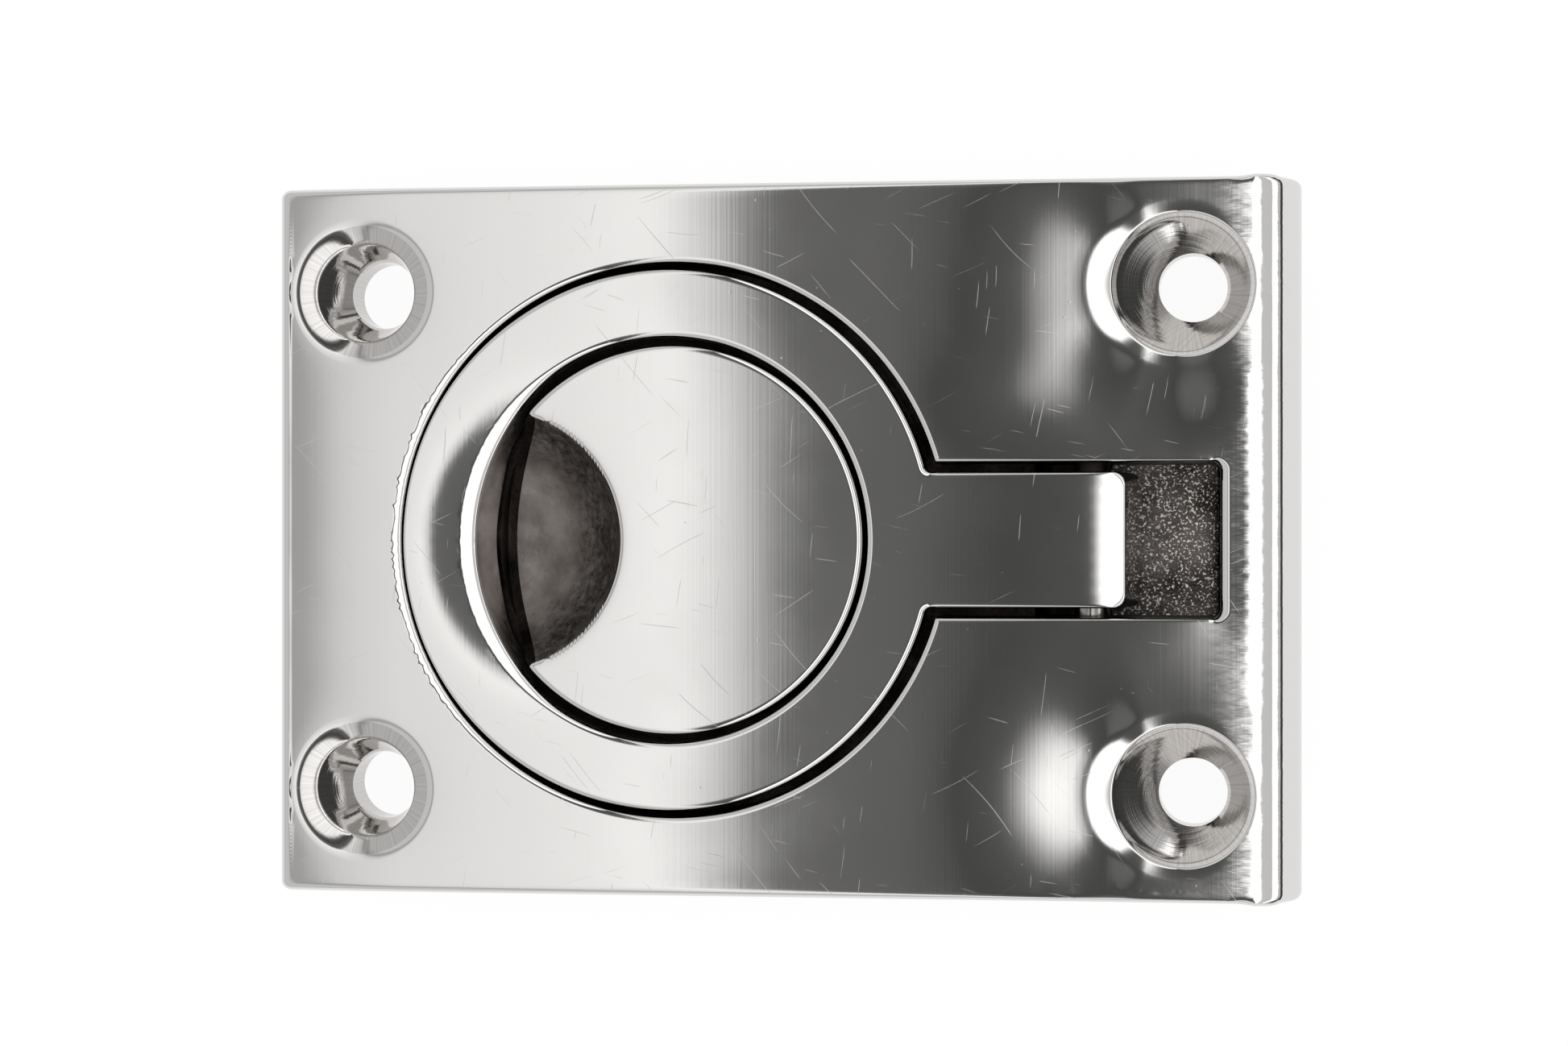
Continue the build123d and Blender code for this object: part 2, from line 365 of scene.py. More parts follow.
@dataclass(frozen=True)
class SinkLiner:
    """The cones and bores of a pair of screw holes, turned and repeated by Geometry Nodes."""

    pitch: float
    top_radius: float
    top_z: float
    throat_radius: float
    slope: float
    lean: float

    def sizes(self) -> dict[str, float]:
        """The tree's inputs by name, in millimetres."""
        throat_z = self.top_z - (self.top_radius - self.throat_radius) * self.slope
        return {"Pitch": self.pitch, "Top radius": self.top_radius, "Top height": self.top_z,
                "Throat radius": self.throat_radius, "Throat height": throat_z, "Bore lean": self.lean}

    def tree(self, finish: bpy.types.Material) -> tuple[bpy.types.NodeTree, dict[str, str]]:
        """Builds the node tree.

        Args:
            finish: The material of the cut metal.

        Returns:
            The tree, and each input's identifier by its name.
        """
        tree = bpy.data.node_groups.new("sink_liner", "GeometryNodeTree")
        tree.interface.new_socket(name="Geometry", in_out="OUTPUT", socket_type="NodeSocketGeometry")
        sockets = {name: tree.interface.new_socket(name=name, in_out="INPUT",
                                                   socket_type="NodeSocketFloat")
                   for name in ("Middle", *self.sizes())}
        nodes = Nodes(tree)
        given = nodes.add("NodeGroupInput").outputs
        sheet = nodes.out("GeometryNodeMeshGrid", {"Vertices X": SINK_SIDES + 1, "Vertices Y": 11})
        at = nodes.add("SeparateXYZ", {0: nodes.out("GeometryNodeInputPosition")}).outputs
        turn = nodes.math("MULTIPLY_ADD", at[0], 2 * math.pi, math.pi)
        side, rise = nodes.math("COSINE", turn), nodes.math("SINE", turn)
        # The first part of the sheet's width becomes the cone, and the rest the bore
        cone = {"Value": at[1], "From Min": -0.5, "From Max": 0.1}
        radius, lean, height = (
            nodes.out("MapRange", cone | {"To Min": top, "To Max": throat})
            for top, throat in ((given["Top radius"], given["Throat radius"]),
                                (0.0, given["Bore lean"]),
                                (given["Top height"], given["Throat height"])))
        bore = nodes.out("MapRange", {"Value": at[1], "From Min": 0.1, "From Max": 0.5,
                                      "To Min": 1.0, "To Max": 0.0})
        place = nodes.out("CombineXYZ", {0: nodes.math("MULTIPLY_ADD", side, radius, lean),
                                         1: nodes.math("MULTIPLY", rise, radius),
                                         2: nodes.math("MULTIPLY", height, bore)})
        turned = nodes.out("GeometryNodeSetPosition", {"Geometry": sheet, "Position": place})
        joined = nodes.out("GeometryNodeMergeByDistance", {"Distance": 0.0005, "Geometry": turned})
        half = nodes.math("MULTIPLY", given["Pitch"], -0.5)
        start = nodes.out("CombineXYZ", {0: given["Middle"], 1: half})
        step = nodes.out("CombineXYZ", {1: given["Pitch"]})
        pair = nodes.out("GeometryNodeMeshLine", {"Count": 2, "Start Location": start, "Offset": step})
        holes = nodes.out("GeometryNodeInstanceOnPoints", {"Points": pair, "Instance": joined})
        real = nodes.out("GeometryNodeRealizeInstances", {0: holes})
        nodes.add("NodeGroupOutput",
                  {0: nodes.out("GeometryNodeSetMaterial", {"Material": finish, "Geometry": real})})
        return tree, {name: socket.identifier for name, socket in sockets.items()}

    def build(self, middle: float, finish: bpy.types.Material) -> bpy.types.Mesh:
        """Makes the pair of liners.

        Args:
            middle: Where the pair stands along the length.
            finish: The material of the cut metal.

        Returns:
            Their mesh, in millimetres.
        """
        tree, inputs = self.tree(finish)
        holder = bpy.data.objects.new("sink_liner", bpy.data.meshes.new("sink_liner"))
        bpy.context.scene.collection.objects.link(holder)
        modifier = holder.modifiers.new("sink_liner", "NODES")
        modifier.node_group = tree
        for name, value in (self.sizes() | {"Middle": middle}).items():
            modifier[inputs[name]] = float(value)
        seen = holder.evaluated_get(bpy.context.evaluated_depsgraph_get())
        made = bpy.data.meshes.new_from_object(seen)
        holder.modifiers.remove(modifier)
        bpy.data.objects.remove(holder)
        LOG.info("sink liner at x %.1f: %d faces", middle, len(made.polygons))
        return made


@dataclass
class BasePlate:
    """The base casting: flange, keyhole recess, island, finger scoop, hinge trough and pan."""

    machined: bpy.types.Material
    free_x: float = -31.7
    hinge_x: float = 33.3
    half_width: float = 22.5
    face_z: float = 4.5
    sinks: tuple[Countersink, ...] = (FREE_SINKS, HINGE_SINKS)
    screw_y: float = 15.75
    hole_radius: float = 2.15
    recess_x: float = -6.103
    recess_radius: float = 17.4
    floor_z: float = 0.5
    slot_half: float = 4.8
    slot_end_x: float = 28.3
    island_radius: float = 12.22
    island_lean: float = 0.0052
    scoop_x: float = -17.523
    scoop_radius: float = 8.2
    scoop_depth: float = 5.5
    well_start_x: float = 16.479
    well_z: float = -1.671
    well_round: float = 1.2
    trough: Table = (
        (24.6, 0), (25.3, 4.5), (27.1, 10.5), (27.6, 22), (28.0, 42), (28.2, 62), (28.3, 78))
    trough_x: float = 21.2
    pan_wall: float = 1.8
    pan_z: float = -3.271
    pin_x: float = 20.25
    pin_z: float = 2.1
    bore_radius: float = 1.11
    free_round: float = 0.8
    hinge_round: float = 3.0
    side_round: float = 0.6
    mouth_round: float = 0.35
    window_round: float = 0.62
    side_ease: float = 0.14
    # The mouth's edge on the free side, which the mop has worn wide: how far in and down
    worn_mouth: Table = (
        (0.56, 0.0), (0.51, 0.006), (0.45, 0.018), (0.37, 0.037), (0.28, 0.060), (0.19, 0.088),
        (0.12, 0.130), (0.06, 0.185), (0.0, 0.290))
    mouth_teeth: float = 0.22
    # The face falls before the free edge, and a little before the bullnose: from where, how far
    # on where it stops, and by how much per square millimetre
    free_fall: tuple[float, float] = (-23.5, 0.00437)
    hinge_fall: tuple[float, float, float] = (27.5, 2.8, 0.0017)
    # A pit behind the slot's end: its middle, its depth and its reach across
    pit: tuple[float, float, float] = (28.6, 0.03, 5.0)
    # The mop's waves, the broad ones and the fine: their height, their length and their seed
    waves: tuple[tuple[float, float, float], ...] = ((0.012, 5.0, 3.1), (0.0012, 3.2, 7.7))
    wave_stretch: tuple[float, float] = (0.45, 1.1)
    # Where the dips fade out along the plate, and the mop's waves across it
    dips_end: tuple[float, float] = (25.0, 30.5)
    waves_end: tuple[float, float] = (19.5, 21.9)
    nose_x: float = 31.4
    swell_x: float = 31.0
    swell_reach: float = 1.15
    corner_round: float = 0.5
    # Soft dips in the face: their middle, their slope and their reach each way
    dips: tuple[tuple[float, float, float, float, float], ...] = (
        (16.5, 8.9, 0.022, 6.0, 2.1), (22.5, 9.2, 0.018, 4.5, 2.4), (18.0, -15.5, 0.014, 5.0, 3.2))
    skin: Casting = field(default_factory=lambda: Casting("polished_plate"))

    # ---- how the mop has left the face

    def face(self, p: np.ndarray) -> np.ndarray:
        """Heights of the polished face at points of the plan."""
        x, y = p[:, 0], p[:, 1]
        z = np.full(len(p), self.face_z)
        bull = np.clip(x - (self.hinge_x - self.hinge_round), 0, self.hinge_round)
        z -= self.hinge_round - np.sqrt(self.hinge_round**2 - bull**2)
        fall_x, fall = self.free_fall
        z -= fall * np.clip(fall_x - x, 0, None) ** 2
        fall_x, reach, fall = self.hinge_fall
        z -= fall * np.clip(x - fall_x, 0, reach) ** 2
        clear = 1 - smooth_step(x, *self.dips_end)
        for sink in self.sinks:
            for side_y in (-self.screw_y, self.screw_y):
                z -= sink.dip(x - sink.x, y - side_y)
        pit_x, pit_depth, pit_reach = self.pit
        z -= pit_depth * np.exp(-((x - pit_x) ** 2 + (y / pit_reach) ** 4) / 2)
        for mid_x, mid_y, slope, reach_x, reach_y in self.dips:
            away = ((x - mid_x) / reach_x) ** 2 + ((y - mid_y) / reach_y) ** 2
            z -= slope * (x - mid_x + reach_x) * np.exp(-away / 2) * clear
        inside = 1 - smooth_step(np.abs(y), *self.waves_end)
        for (height, length, seed), stretch in zip(self.waves, (self.wave_stretch, (1, 1))):
            z -= height * (1 + drift(p[:, :2] * stretch, length, seed)) * inside
        return z

    def width_at(self, x: np.ndarray) -> np.ndarray:
        """Half the plate's width along its length; it is fullest just before the bullnose ends."""
        away = (np.asarray(x, float) - self.swell_x) / self.swell_reach
        swell = np.exp(-(away**4))
        return self.half_width - self.side_ease * (1 - swell)

    # ---- flange

    def profile(self) -> tuple[np.ndarray, np.ndarray]:
        """The lengthwise section from the free edge's foot to the hinge edge's foot.

        Returns:
            (n, 2) points of x and z, and their (n, 2) outward normals.
        """
        left = self.free_x + self.free_round
        right = self.hinge_x - self.hinge_round
        up = straight(self.free_x, 0, self.free_x, self.face_z - self.free_round, 4)
        round_left = arc(left, self.face_z - self.free_round, self.free_round,
                         self.free_round, math.pi, math.pi / 2, 9)
        xs = np.arange(left, right + 0.01, 0.5)
        xs = np.linspace(left, right, len(xs))
        flat = np.column_stack([xs, np.full(len(xs), self.face_z)])
        round_right = self.bullnose()
        down = straight(self.hinge_x, round_right[-1, 1], self.hinge_x, 0, 3)
        points = np.vstack([chained(up, round_left, flat, round_right), down])
        eased = points.copy()
        top = points[:, 1] > self.face_z - 0.9
        drop = self.face(np.column_stack([points[:, 0], np.full(len(points), self.waves_end[1])]))
        nose = np.clip(points[:, 0] - right, 0, self.hinge_round)
        bull = self.face_z - self.hinge_round + np.sqrt(self.hinge_round**2 - nose**2)
        eased[top, 1] -= (bull - drop)[top]
        slope = np.gradient(eased, axis=0)
        slope /= np.hypot(*slope.T)[:, None]
        normals = np.column_stack([-slope[:, 1], slope[:, 0]])
        return eased, normals

    def bullnose(self) -> np.ndarray:
        """The hinge edge's section: a quarter round with a knuckle that hand dressing left."""
        knuckle, past = math.radians(33), math.radians(48)
        lower = math.radians(53)
        knuckle_arc, flat_arc, last_round = 0.21, 1.2, 1.887
        lengths = [0, self.hinge_round * knuckle, knuckle_arc, flat_arc,
                   last_round * (math.pi / 2 - lower)]
        stops = np.cumsum(lengths)
        along = np.unique(np.concatenate([np.linspace(a, b, n) for a, b, n in
                                          zip(stops, stops[1:], (24, 4, 9, 13))]))
        tilt = np.interp(along, stops, [0, knuckle, past, lower, math.pi / 2])
        mid = (tilt[1:] + tilt[:-1]) / 2
        steps = np.diff(along)
        x = np.concatenate([[0], np.cumsum(steps * np.cos(mid))])
        drop = np.concatenate([[0], np.cumsum(steps * np.sin(mid))])
        return np.column_stack([self.hinge_x - self.hinge_round + x * (self.hinge_round / x[-1]),
                                self.face_z - drop])

    def build_flange(self) -> tuple[np.ndarray, np.ndarray]:
        """The rounded edges and flat sides.

        Returns:
            The loop round the face, and the loop round the underside.
        """
        p, normal = self.profile()
        half = self.width_at(p[:, 0])
        turns = [(math.sin(a), 1 - math.cos(a)) for a in np.linspace(0, math.pi / 2, 9)]
        sides = {}
        for sign in (-1, 1):
            rows = []
            for out, down in turns:
                at = p - normal * self.side_round * down
                y = sign * (half - self.side_round * (1 - out))
                rows.append(np.column_stack([at[:, 0], y, at[:, 1]]))
            self.skin.band(rows, Skin.POLISHED, closed=False)
            sides[sign] = rows
        ends = {}
        edge_y = self.half_width - self.side_ease - self.side_round
        left_top = int(np.argmin(np.abs(p[:, 0] - (self.free_x + self.free_round))))
        right_top = int(np.argmin(np.abs(p[:, 0] - self.nose_x)))
        ripple, ripple_length, seed = 0.009, 1.1, 11.3
        for name, part in (("free", slice(0, left_top + 1)), ("hinge", slice(right_top, len(p)))):
            across = []
            inner = sides[1][0][part]
            for share in np.linspace(-1, 1, 181):
                row = inner.copy()
                row[:, 1] *= share
                if abs(share) < 1:
                    plan = np.column_stack([np.full(len(row), share * edge_y), row[:, 0] * 1.3])
                    wave = ripple * drift(plan, ripple_length, seed)
                    fade = 1 if name == "hinge" else 0.06
                    row[:, 2] -= fade * np.abs(wave) * smooth_step(row[:, 2], 2.2, 3.4)
                across.append(row)
            self.skin.band(across, Skin.POLISHED, closed=False)
            ends[name] = across
        flat_part = slice(left_top, right_top + 1)
        face_loop = np.vstack([
            sides[-1][0][flat_part][:-1],
            np.array([row[0] for row in ends["hinge"]])[:-1],
            sides[1][0][flat_part][::-1][:-1],
            np.array([row[-1] for row in ends["free"]])[::-1][:-1],
        ])
        foot_left, foot_right = p[0, 0] + self.side_round, p[-1, 0] - self.side_round
        keep = (p[:, 0] > foot_left + 0.2) & (p[:, 0] < foot_right - 0.2)
        foot_x = np.concatenate([[foot_left], p[keep, 0], [foot_right]])
        feet = {}
        for sign in (-1, 1):
            last = sides[sign][-1]
            y = sign * self.width_at(foot_x)
            y[0], y[-1] = last[0, 1], last[-1, 1]
            feet[sign] = np.column_stack([foot_x, y, np.zeros(len(foot_x))])
            outline = np.vstack([last, feet[sign][::-1][1:-1]])
            holes = [self.bore_mouth()] if sign < 0 else []
            xs = field_points(foot_left + 0.3, foot_right - 0.3, 0.3, 3.6, 0.9)
            loops_2d = [np.column_stack([loop[:, 0], loop[:, 2]]) for loop in [outline, *holes]]
            xs = between(xs, loops_2d, 0.4)
            inside = np.column_stack([xs[:, 0], sign * self.width_at(xs[:, 0]), xs[:, 1]])
            self.skin.patch([outline, *holes], inside, Skin.POLISHED, plan=lambda q: q[:, [0, 2]])
        corner = {sign: [np.array([row[i] for row in sides[sign]]) for i in (0, -1)]
                  for sign in (-1, 1)}
        foot_loop = np.vstack([
            feet[-1][:-1],
            corner[-1][1][::-1][:-1],
            np.array([row[-1] for row in ends["hinge"]])[:-1],
            corner[1][1][:-1],
            feet[1][::-1][:-1],
            corner[1][0][::-1][:-1],
            np.array([row[0] for row in ends["free"]])[::-1][:-1],
            corner[-1][0][:-1],
        ])
        return face_loop, foot_loop

    def bore_mouth(self) -> np.ndarray:
        """The pin bore: its slightly broken mouth in the long edge, with the wall behind it."""
        y = float(-self.width_at(np.array([self.pin_x]))[0])
        rows = []
        for out, depth in ((0.12, 0.0), (0.04, 0.04), (0.0, 0.12), (0.0, 3.0)):
            ring = circle(self.pin_x, self.pin_z, self.bore_radius + out, PIN_SIDES)
            rows.append(np.column_stack([ring[:, 0], np.full(len(ring), y + depth), ring[:, 1]]))
        self.skin.band(rows, Skin.MACHINED)
        self.skin.patch([rows[-1]], np.empty((0, 3)), Skin.MACHINED, plan=lambda q: q[:, [0, 2]])
        return rows[0]

    # ---- keyhole

    def keyhole(self, out: float, out_end: float) -> np.ndarray:
        """The keyhole's outline, moved outwards.

        Args:
            out: How far the round part and the long sides move.
            out_end: How far the hinge end moves.

        Returns:
            An (n, 2) loop, anticlockwise. Every call gives the same number of points.
        """
        radius, half, end = self.recess_radius + out, self.slot_half + out, self.slot_end_x + out_end
        join = math.asin(half / radius)
        rx, ry = self.corner_round + out_end, self.corner_round + out
        x = self.recess_x + radius * math.cos(join)
        stations = np.array([0.08, 0.25, 0.6, 1.2, 2.0, 3.0, 4.0])
        well = np.array([self.well_start_x, self.well_start_x + 0.02])
        rest = np.linspace(self.well_start_x + 0.25, end - rx, 52)[:-1]
        run = np.concatenate([[x], x + stations * (self.well_start_x - x) / 5.0, well, rest, [end - rx]])
        upper = np.column_stack([run, np.full(len(run), half)])
        lower = upper * [1, -1]
        ring = arc(self.recess_x, 0, radius, radius, join, 2 * math.pi - join, 421)
        lower_corner = arc(end - rx, -half + ry, rx, ry, -math.pi / 2, 0, 13)
        upper_corner = arc(end - rx, half - ry, rx, ry, 0, math.pi / 2, 13)
        end_run = straight(end, -half + ry, end, half - ry, 31)
        return chained(ring, lower, lower_corner, end_run, upper_corner, upper[::-1])

    def floor(self, p: np.ndarray) -> np.ndarray:
        """Heights of the recess floor, with the hinge trough, at points of the plan."""
        x = p[:, 0]
        z = np.full(len(p), self.floor_z)
        past = x - self.well_start_x
        corner = np.clip(self.well_round - past, 0, self.well_round)
        well = self.well_z + self.well_round - np.sqrt(np.clip(self.well_round**2 - corner**2, 0, None))
        places, depth = fallen(self.trough)
        well += depth[0] - np.interp(x, places, depth)
        return np.where(past > 0.01, well, z)

    def build_keyhole(self) -> tuple[np.ndarray, np.ndarray]:
        """The mouth's rounding and the walls.

        Returns:
            The loop on the face, and the loop round the floor.
        """
        rows = []
        plain = self.keyhole(0, 0)
        out_way = plain - [self.recess_x, 0]
        out_way /= np.hypot(*out_way.T)[:, None]
        worn = smooth_step(-out_way[:, 0], *FREE_SIDE)
        wider = out_way * (worn * (self.worn_mouth[0][0] - self.mouth_round))[:, None]
        for extra in (0.75, 0.3, 0.06):
            flat = self.keyhole(self.mouth_round + extra, self.window_round + extra) + wider
            rows.append(lifted(flat, self.face(flat)))
        outer = self.keyhole(self.mouth_round, self.window_round) + wider
        at_end = smooth_step(outer[:, 0], self.slot_end_x - 0.6, self.slot_end_x)
        tooth = 1 + self.mouth_teeth * worn * np.random.default_rng(5).uniform(-1, 1, len(outer))
        for (reach, down), (out, turn) in zip(eased(self.mouth_round, self.worn_mouth, worn), quarter(8)):
            flat = self.keyhole(self.mouth_round * out, self.window_round * out)
            flat += out_way * ((reach * tooth - self.mouth_round * out) * worn)[:, None]
            depth = down * (1 - at_end) + self.window_round * turn * at_end
            rows.append(lifted(flat, self.face(outer) - depth))
        self.skin.band(rows, Skin.POLISHED)
        flat = self.keyhole(0, 0)
        foot = self.floor(flat)
        top = rows[-1][:, 2]
        walls = [rows[-1]]
        for share in (0.2, 0.45, 0.7, 0.9, 1.0):
            walls.append(lifted(flat, top + (foot - top) * share))
        self.skin.band(walls, Skin.GROOVE)
        return rows[0], walls[-1]

    def build_floor(self, outline: np.ndarray, island_foot: np.ndarray) -> None:
        """The groove floor, the stem's seat and the trough, grained as they left the mould; the groove's
        near-black metal is painted shade.
        """
        groove = field_points(-24, 12, -18, 18, 0.8)
        across_x = np.concatenate([
            np.arange(11.6, self.well_start_x - 0.2, 0.8),
            [self.well_start_x, self.well_start_x + 0.02],
            self.well_start_x + np.array([0.06, 0.18, 0.36, 0.6, 0.9, 1.2]),
            np.arange(self.well_start_x + 1.7, 27.2, 0.3), np.arange(27.3, 28.25, 0.1),
        ])
        ys = np.linspace(-self.slot_half + 0.3, self.slot_half - 0.3, 25)
        slot = np.array([(x, y) for x in across_x for y in ys])
        slot = slot[slot[:, 0] > 12.6]
        flat = np.vstack([groove, slot])
        loops = [outline, island_foot]
        flat = between(flat, loops, 0.09)
        grain = 0.035 * drift(flat, 0.75, 2.0) + 0.02 * drift(flat, 0.33, 5.0)
        near_step = np.abs(flat[:, 0] - self.well_start_x) < 0.1
        z = self.floor(flat) + np.where(near_step, 0, grain)
        before = len(self.skin.faces)
        self.skin.patch(loops, lifted(flat, z), Skin.GROOVE)
        self._mark(before, Skin.TROUGH, lambda middle: middle[0] > self.trough_x)

    def _mark(self, before: int, skin: Skin, wanted: Callable[[np.ndarray], bool]) -> None:
        """Gives the faces laid since a count another finish where their middles are wanted."""
        cloud = np.vstack(self.skin.points)
        for i in range(before, len(self.skin.faces)):
            if wanted(cloud[list(self.skin.faces[i])].mean(axis=0)):
                self.skin.skins[i] = skin.value

    # ---- island and scoop

    def scoop_drop(self, p: np.ndarray) -> np.ndarray:
        """How far the finger scoop takes the island down at points of the plan."""
        ball = (self.scoop_radius**2 + self.scoop_depth**2) / (2 * self.scoop_depth)
        r = np.hypot(p[:, 0] - self.scoop_x, p[:, 1])
        edge, blend = 0.97 * ball, 0.16
        centre = self.face_z - self.scoop_depth + ball
        z = centre - np.sqrt(ball**2 - np.minimum(r, edge) ** 2)
        z += np.clip(r - edge, 0, None) * edge / math.sqrt(ball**2 - edge**2)
        depth = self.face_z - z
        return (depth + np.sqrt(depth**2 + blend**2)) / 2

    def build_island(self) -> np.ndarray:
        """The island's face with the scoop, its rim and its wall.

        Returns:
            The loop round the island's foot.
        """
        def loop(inset: float) -> np.ndarray:
            return circle(self.recess_x, 0, self.island_radius - inset, ISLAND_SIDES)

        def surface(p: np.ndarray) -> np.ndarray:
            lean = self.island_lean * (self.recess_x + self.island_radius - p[:, 0])
            wave = 0.005 * (1 + drift(p, 7.0, 9.4))
            return self.face_z - lean - wave - self.scoop_drop(p)

        rows = [lifted(loop(inset), surface(loop(inset))) for inset in (1.0, 0.8, 0.6, 0.42)]
        outer = loop(self.mouth_round)
        fade = 1 - smooth_step(self.scoop_drop(outer), 0.25, 1.2)
        for out, down in quarter(7):
            flat = loop(self.mouth_round * out)
            height = surface(flat) * (1 - fade) + surface(outer) * fade
            rows.append(lifted(flat, height - self.mouth_round * down * fade))
        self._split_band(rows)
        foot = lifted(loop(0), self.floor_z)
        top = rows[-1]
        walls = [top] + [lifted(foot[:, :2], top[:, 2] + (foot[:, 2] - top[:, 2]) * share)
                         for share in (0.3, 0.65, 1.0)]
        self.skin.band(walls, Skin.GROOVE)
        rings = []
        for offset in (0.9, 0.55, 0.32, 0.16, 0.04, -0.08, -0.2, -0.36, -0.6, -0.9):
            radius = self.scoop_radius + offset
            rings.append(circle(self.scoop_x, 0, radius, int(2 * math.pi * radius / 0.3) - 1))
        bowl = field_points(-19, -9, -9, 9, 0.42)
        bowl = bowl[np.hypot(bowl[:, 0] - self.scoop_x, bowl[:, 1]) < self.scoop_radius - 1.2]
        open_face = field_points(-19, 6, -12, 12, 0.75)
        open_face = open_face[np.hypot(open_face[:, 0] - self.scoop_x, open_face[:, 1])
                              > self.scoop_radius + 1.4]
        flat = np.vstack([*rings, bowl, open_face])
        reach = np.hypot(flat[:, 0] - self.recess_x, flat[:, 1])
        flat = flat[reach < self.island_radius - 1.12]
        self._island_patch(rows[0], flat, surface)
        return foot

    def _split_band(self, rows: Rows) -> None:
        """Lays the island's rim, polished on the face and tumbled inside the scoop."""
        drop = self.scoop_drop(rows[0][:, :2])
        in_scoop = drop > 0.35
        n = len(in_scoop)
        for skin, wanted in ((Skin.POLISHED, False), (Skin.TUMBLED, True)):
            starts = [j for j in range(n) if in_scoop[j] == wanted and in_scoop[j - 1] != wanted]
            for start in starts:
                length = next(k for k in range(1, n + 1) if in_scoop[(start + k) % n] != wanted)
                extra = 1 if not wanted else 0
                index = [(start + k - extra) % n for k in range(length + 2 * extra)]
                cut = [row[index] for row in rows]
                foot = 2 if wanted else len(rows) - 1
                self.skin.band(cut[:foot + 1], skin, closed=False)
                self.skin.band(cut[foot:], Skin.GROOVE, closed=False)

    def _island_patch(self, loop: np.ndarray, flat: np.ndarray, surface: Callable) -> None:
        """Fills the island's face and marks the faces that lie in the scoop."""
        before = len(self.skin.faces)
        self.skin.patch([loop], lifted(flat, surface(flat)), Skin.POLISHED)
        self._mark(before, Skin.TUMBLED, lambda middle: self.face_z - middle[2] > 0.3)

    # ---- countersinks and pan

    def sink_rows(self, sink: Countersink, cy: float, lowest: float) -> Rows:
        """Rows of one hole's rim, from the face down to the cone, where they have come level."""
        radii = sink.stations()
        behind = radii[0] + np.array([0.12, 0.05])
        loops = [circle(sink.x, cy, radius, SINK_SIDES) for radius in (*behind, *radii)]
        rows = [lifted(loop, self.face(loop)) for loop in loops[:2]]
        edge = self.face(loops[2])
        for radius, loop in zip(radii, loops[2:]):
            level = smooth_step(radii[0] - radius, 0, radii[0] - radii[-1])
            height = edge * (1 - level) + lowest * level
            rows.append(lifted(loop, height - np.interp(radius, *fallen(sink.rim))))
        return rows

    def build_sinks(self) -> tuple[list[np.ndarray], list[np.ndarray]]:
        """The four countersinks.

        Returns:
            Their loops on the face, and their loops on the underside.
        """
        mouths, feet = [], []
        for sink in self.sinks:
            radii = sink.stations()
            middles = (-self.screw_y, self.screw_y)
            lowest = min(self.face(circle(sink.x, cy, radii[0], SINK_SIDES)).min() for cy in middles)
            for cy in middles:
                rows = self.sink_rows(sink, cy, lowest)
                first_cut = 2 + int(np.argmax(radii <= sink.cut_radius))
                self.skin.band(rows[:first_cut + 1], Skin.POLISHED)
                self.skin.band(rows[first_cut:], Skin.MACHINED)
                mouths.append(rows[0])
                foot = circle(sink.x + sink.drill_lean, cy, self.hole_radius, SINK_SIDES)
                feet.append(lifted(foot, 0.0))
            liner = SinkLiner(
                pitch=2 * self.screw_y, top_radius=radii[-1],
                top_z=float(lowest - np.interp(radii[-1], *fallen(sink.rim))),
                throat_radius=self.hole_radius, slope=sink.cone_slope, lean=sink.drill_lean)
            self.skin.take(liner.build(sink.x, self.machined), Skin.MACHINED)
        return mouths, feet

    def build_pan(self) -> np.ndarray:
        """The closed pan under the flange.

        Returns:
            The loop where it leaves the underside.
        """
        full = self.keyhole(self.pan_wall, self.pan_wall)
        rows = [lifted(full, 0.0), lifted(full, -0.5), lifted(full, -1.3)]
        for out, down in quarter(8):
            flat = self.keyhole(self.pan_wall - down, self.pan_wall - down)
            rows.append(lifted(flat, self.pan_z + out))
        self.skin.band(rows, Skin.AS_CAST)
        inside = field_points(-27, 31, -20, 20, 1.1)
        inside = between(inside, [rows[-1]], 0.5)
        z = self.pan_z + 0.03 * (1 + drift(inside, 1.3, 4.0)) / 2
        self.skin.patch([rows[-1]], lifted(inside, z), Skin.AS_CAST)
        return rows[0]

    def build(self) -> bpy.types.Object:
        """Builds the whole casting and returns its object."""
        face_loop, foot_loop = self.build_flange()
        key_loop, floor_loop = self.build_keyhole()
        mouths, feet = self.build_sinks()
        holes = [key_loop, *mouths]
        inside = field_points(self.free_x, self.hinge_x, -self.half_width, self.half_width, 0.62)
        ringed, turn, ring_sides, edge_gap = 7.1, 0.03, 169, 0.15
        for side_y in (-self.screw_y, self.screw_y):
            hole_x = HINGE_SINKS.x
            inside = inside[np.hypot(inside[:, 0] - hole_x, inside[:, 1] - side_y) > ringed]
            rings = [circle(hole_x, side_y, r, ring_sides, turn * i)
                     for i, r in enumerate(np.arange(5.15, 7.0, 0.17))]
            inside = np.vstack([inside, *rings])
        loops = [face_loop, *holes]
        inside = between(inside, loops, edge_gap)
        edge_x = self.free_x + self.free_round
        inside = inside[inside[:, 0] > edge_x + 1.5]
        half = 21.4
        behind = np.vstack([straight(edge_x + back, -half, edge_x + back, half, 179)
                            for back in (0.07, 0.2, 0.4, 0.65, 0.95, 1.3)])
        inside = np.vstack([inside, behind[clear_of(behind, holes, edge_gap)]])
        self.skin.patch(loops, lifted(inside, self.face(inside)), Skin.POLISHED)
        island_foot = self.build_island()
        self.build_floor(floor_loop, island_foot)
        pan_loop = self.build_pan()
        under = field_points(self.free_x, self.hinge_x, -self.half_width, self.half_width, 1.4)
        loops = [foot_loop, pan_loop, *feet]
        under = between(under, loops, 0.6)
        self.skin.patch(loops, lifted(under, 0.0), Skin.AS_CAST)
        return bpy.data.objects.new(self.skin.name, self.skin.mesh())


# ---------------------------------------------------------------- ring


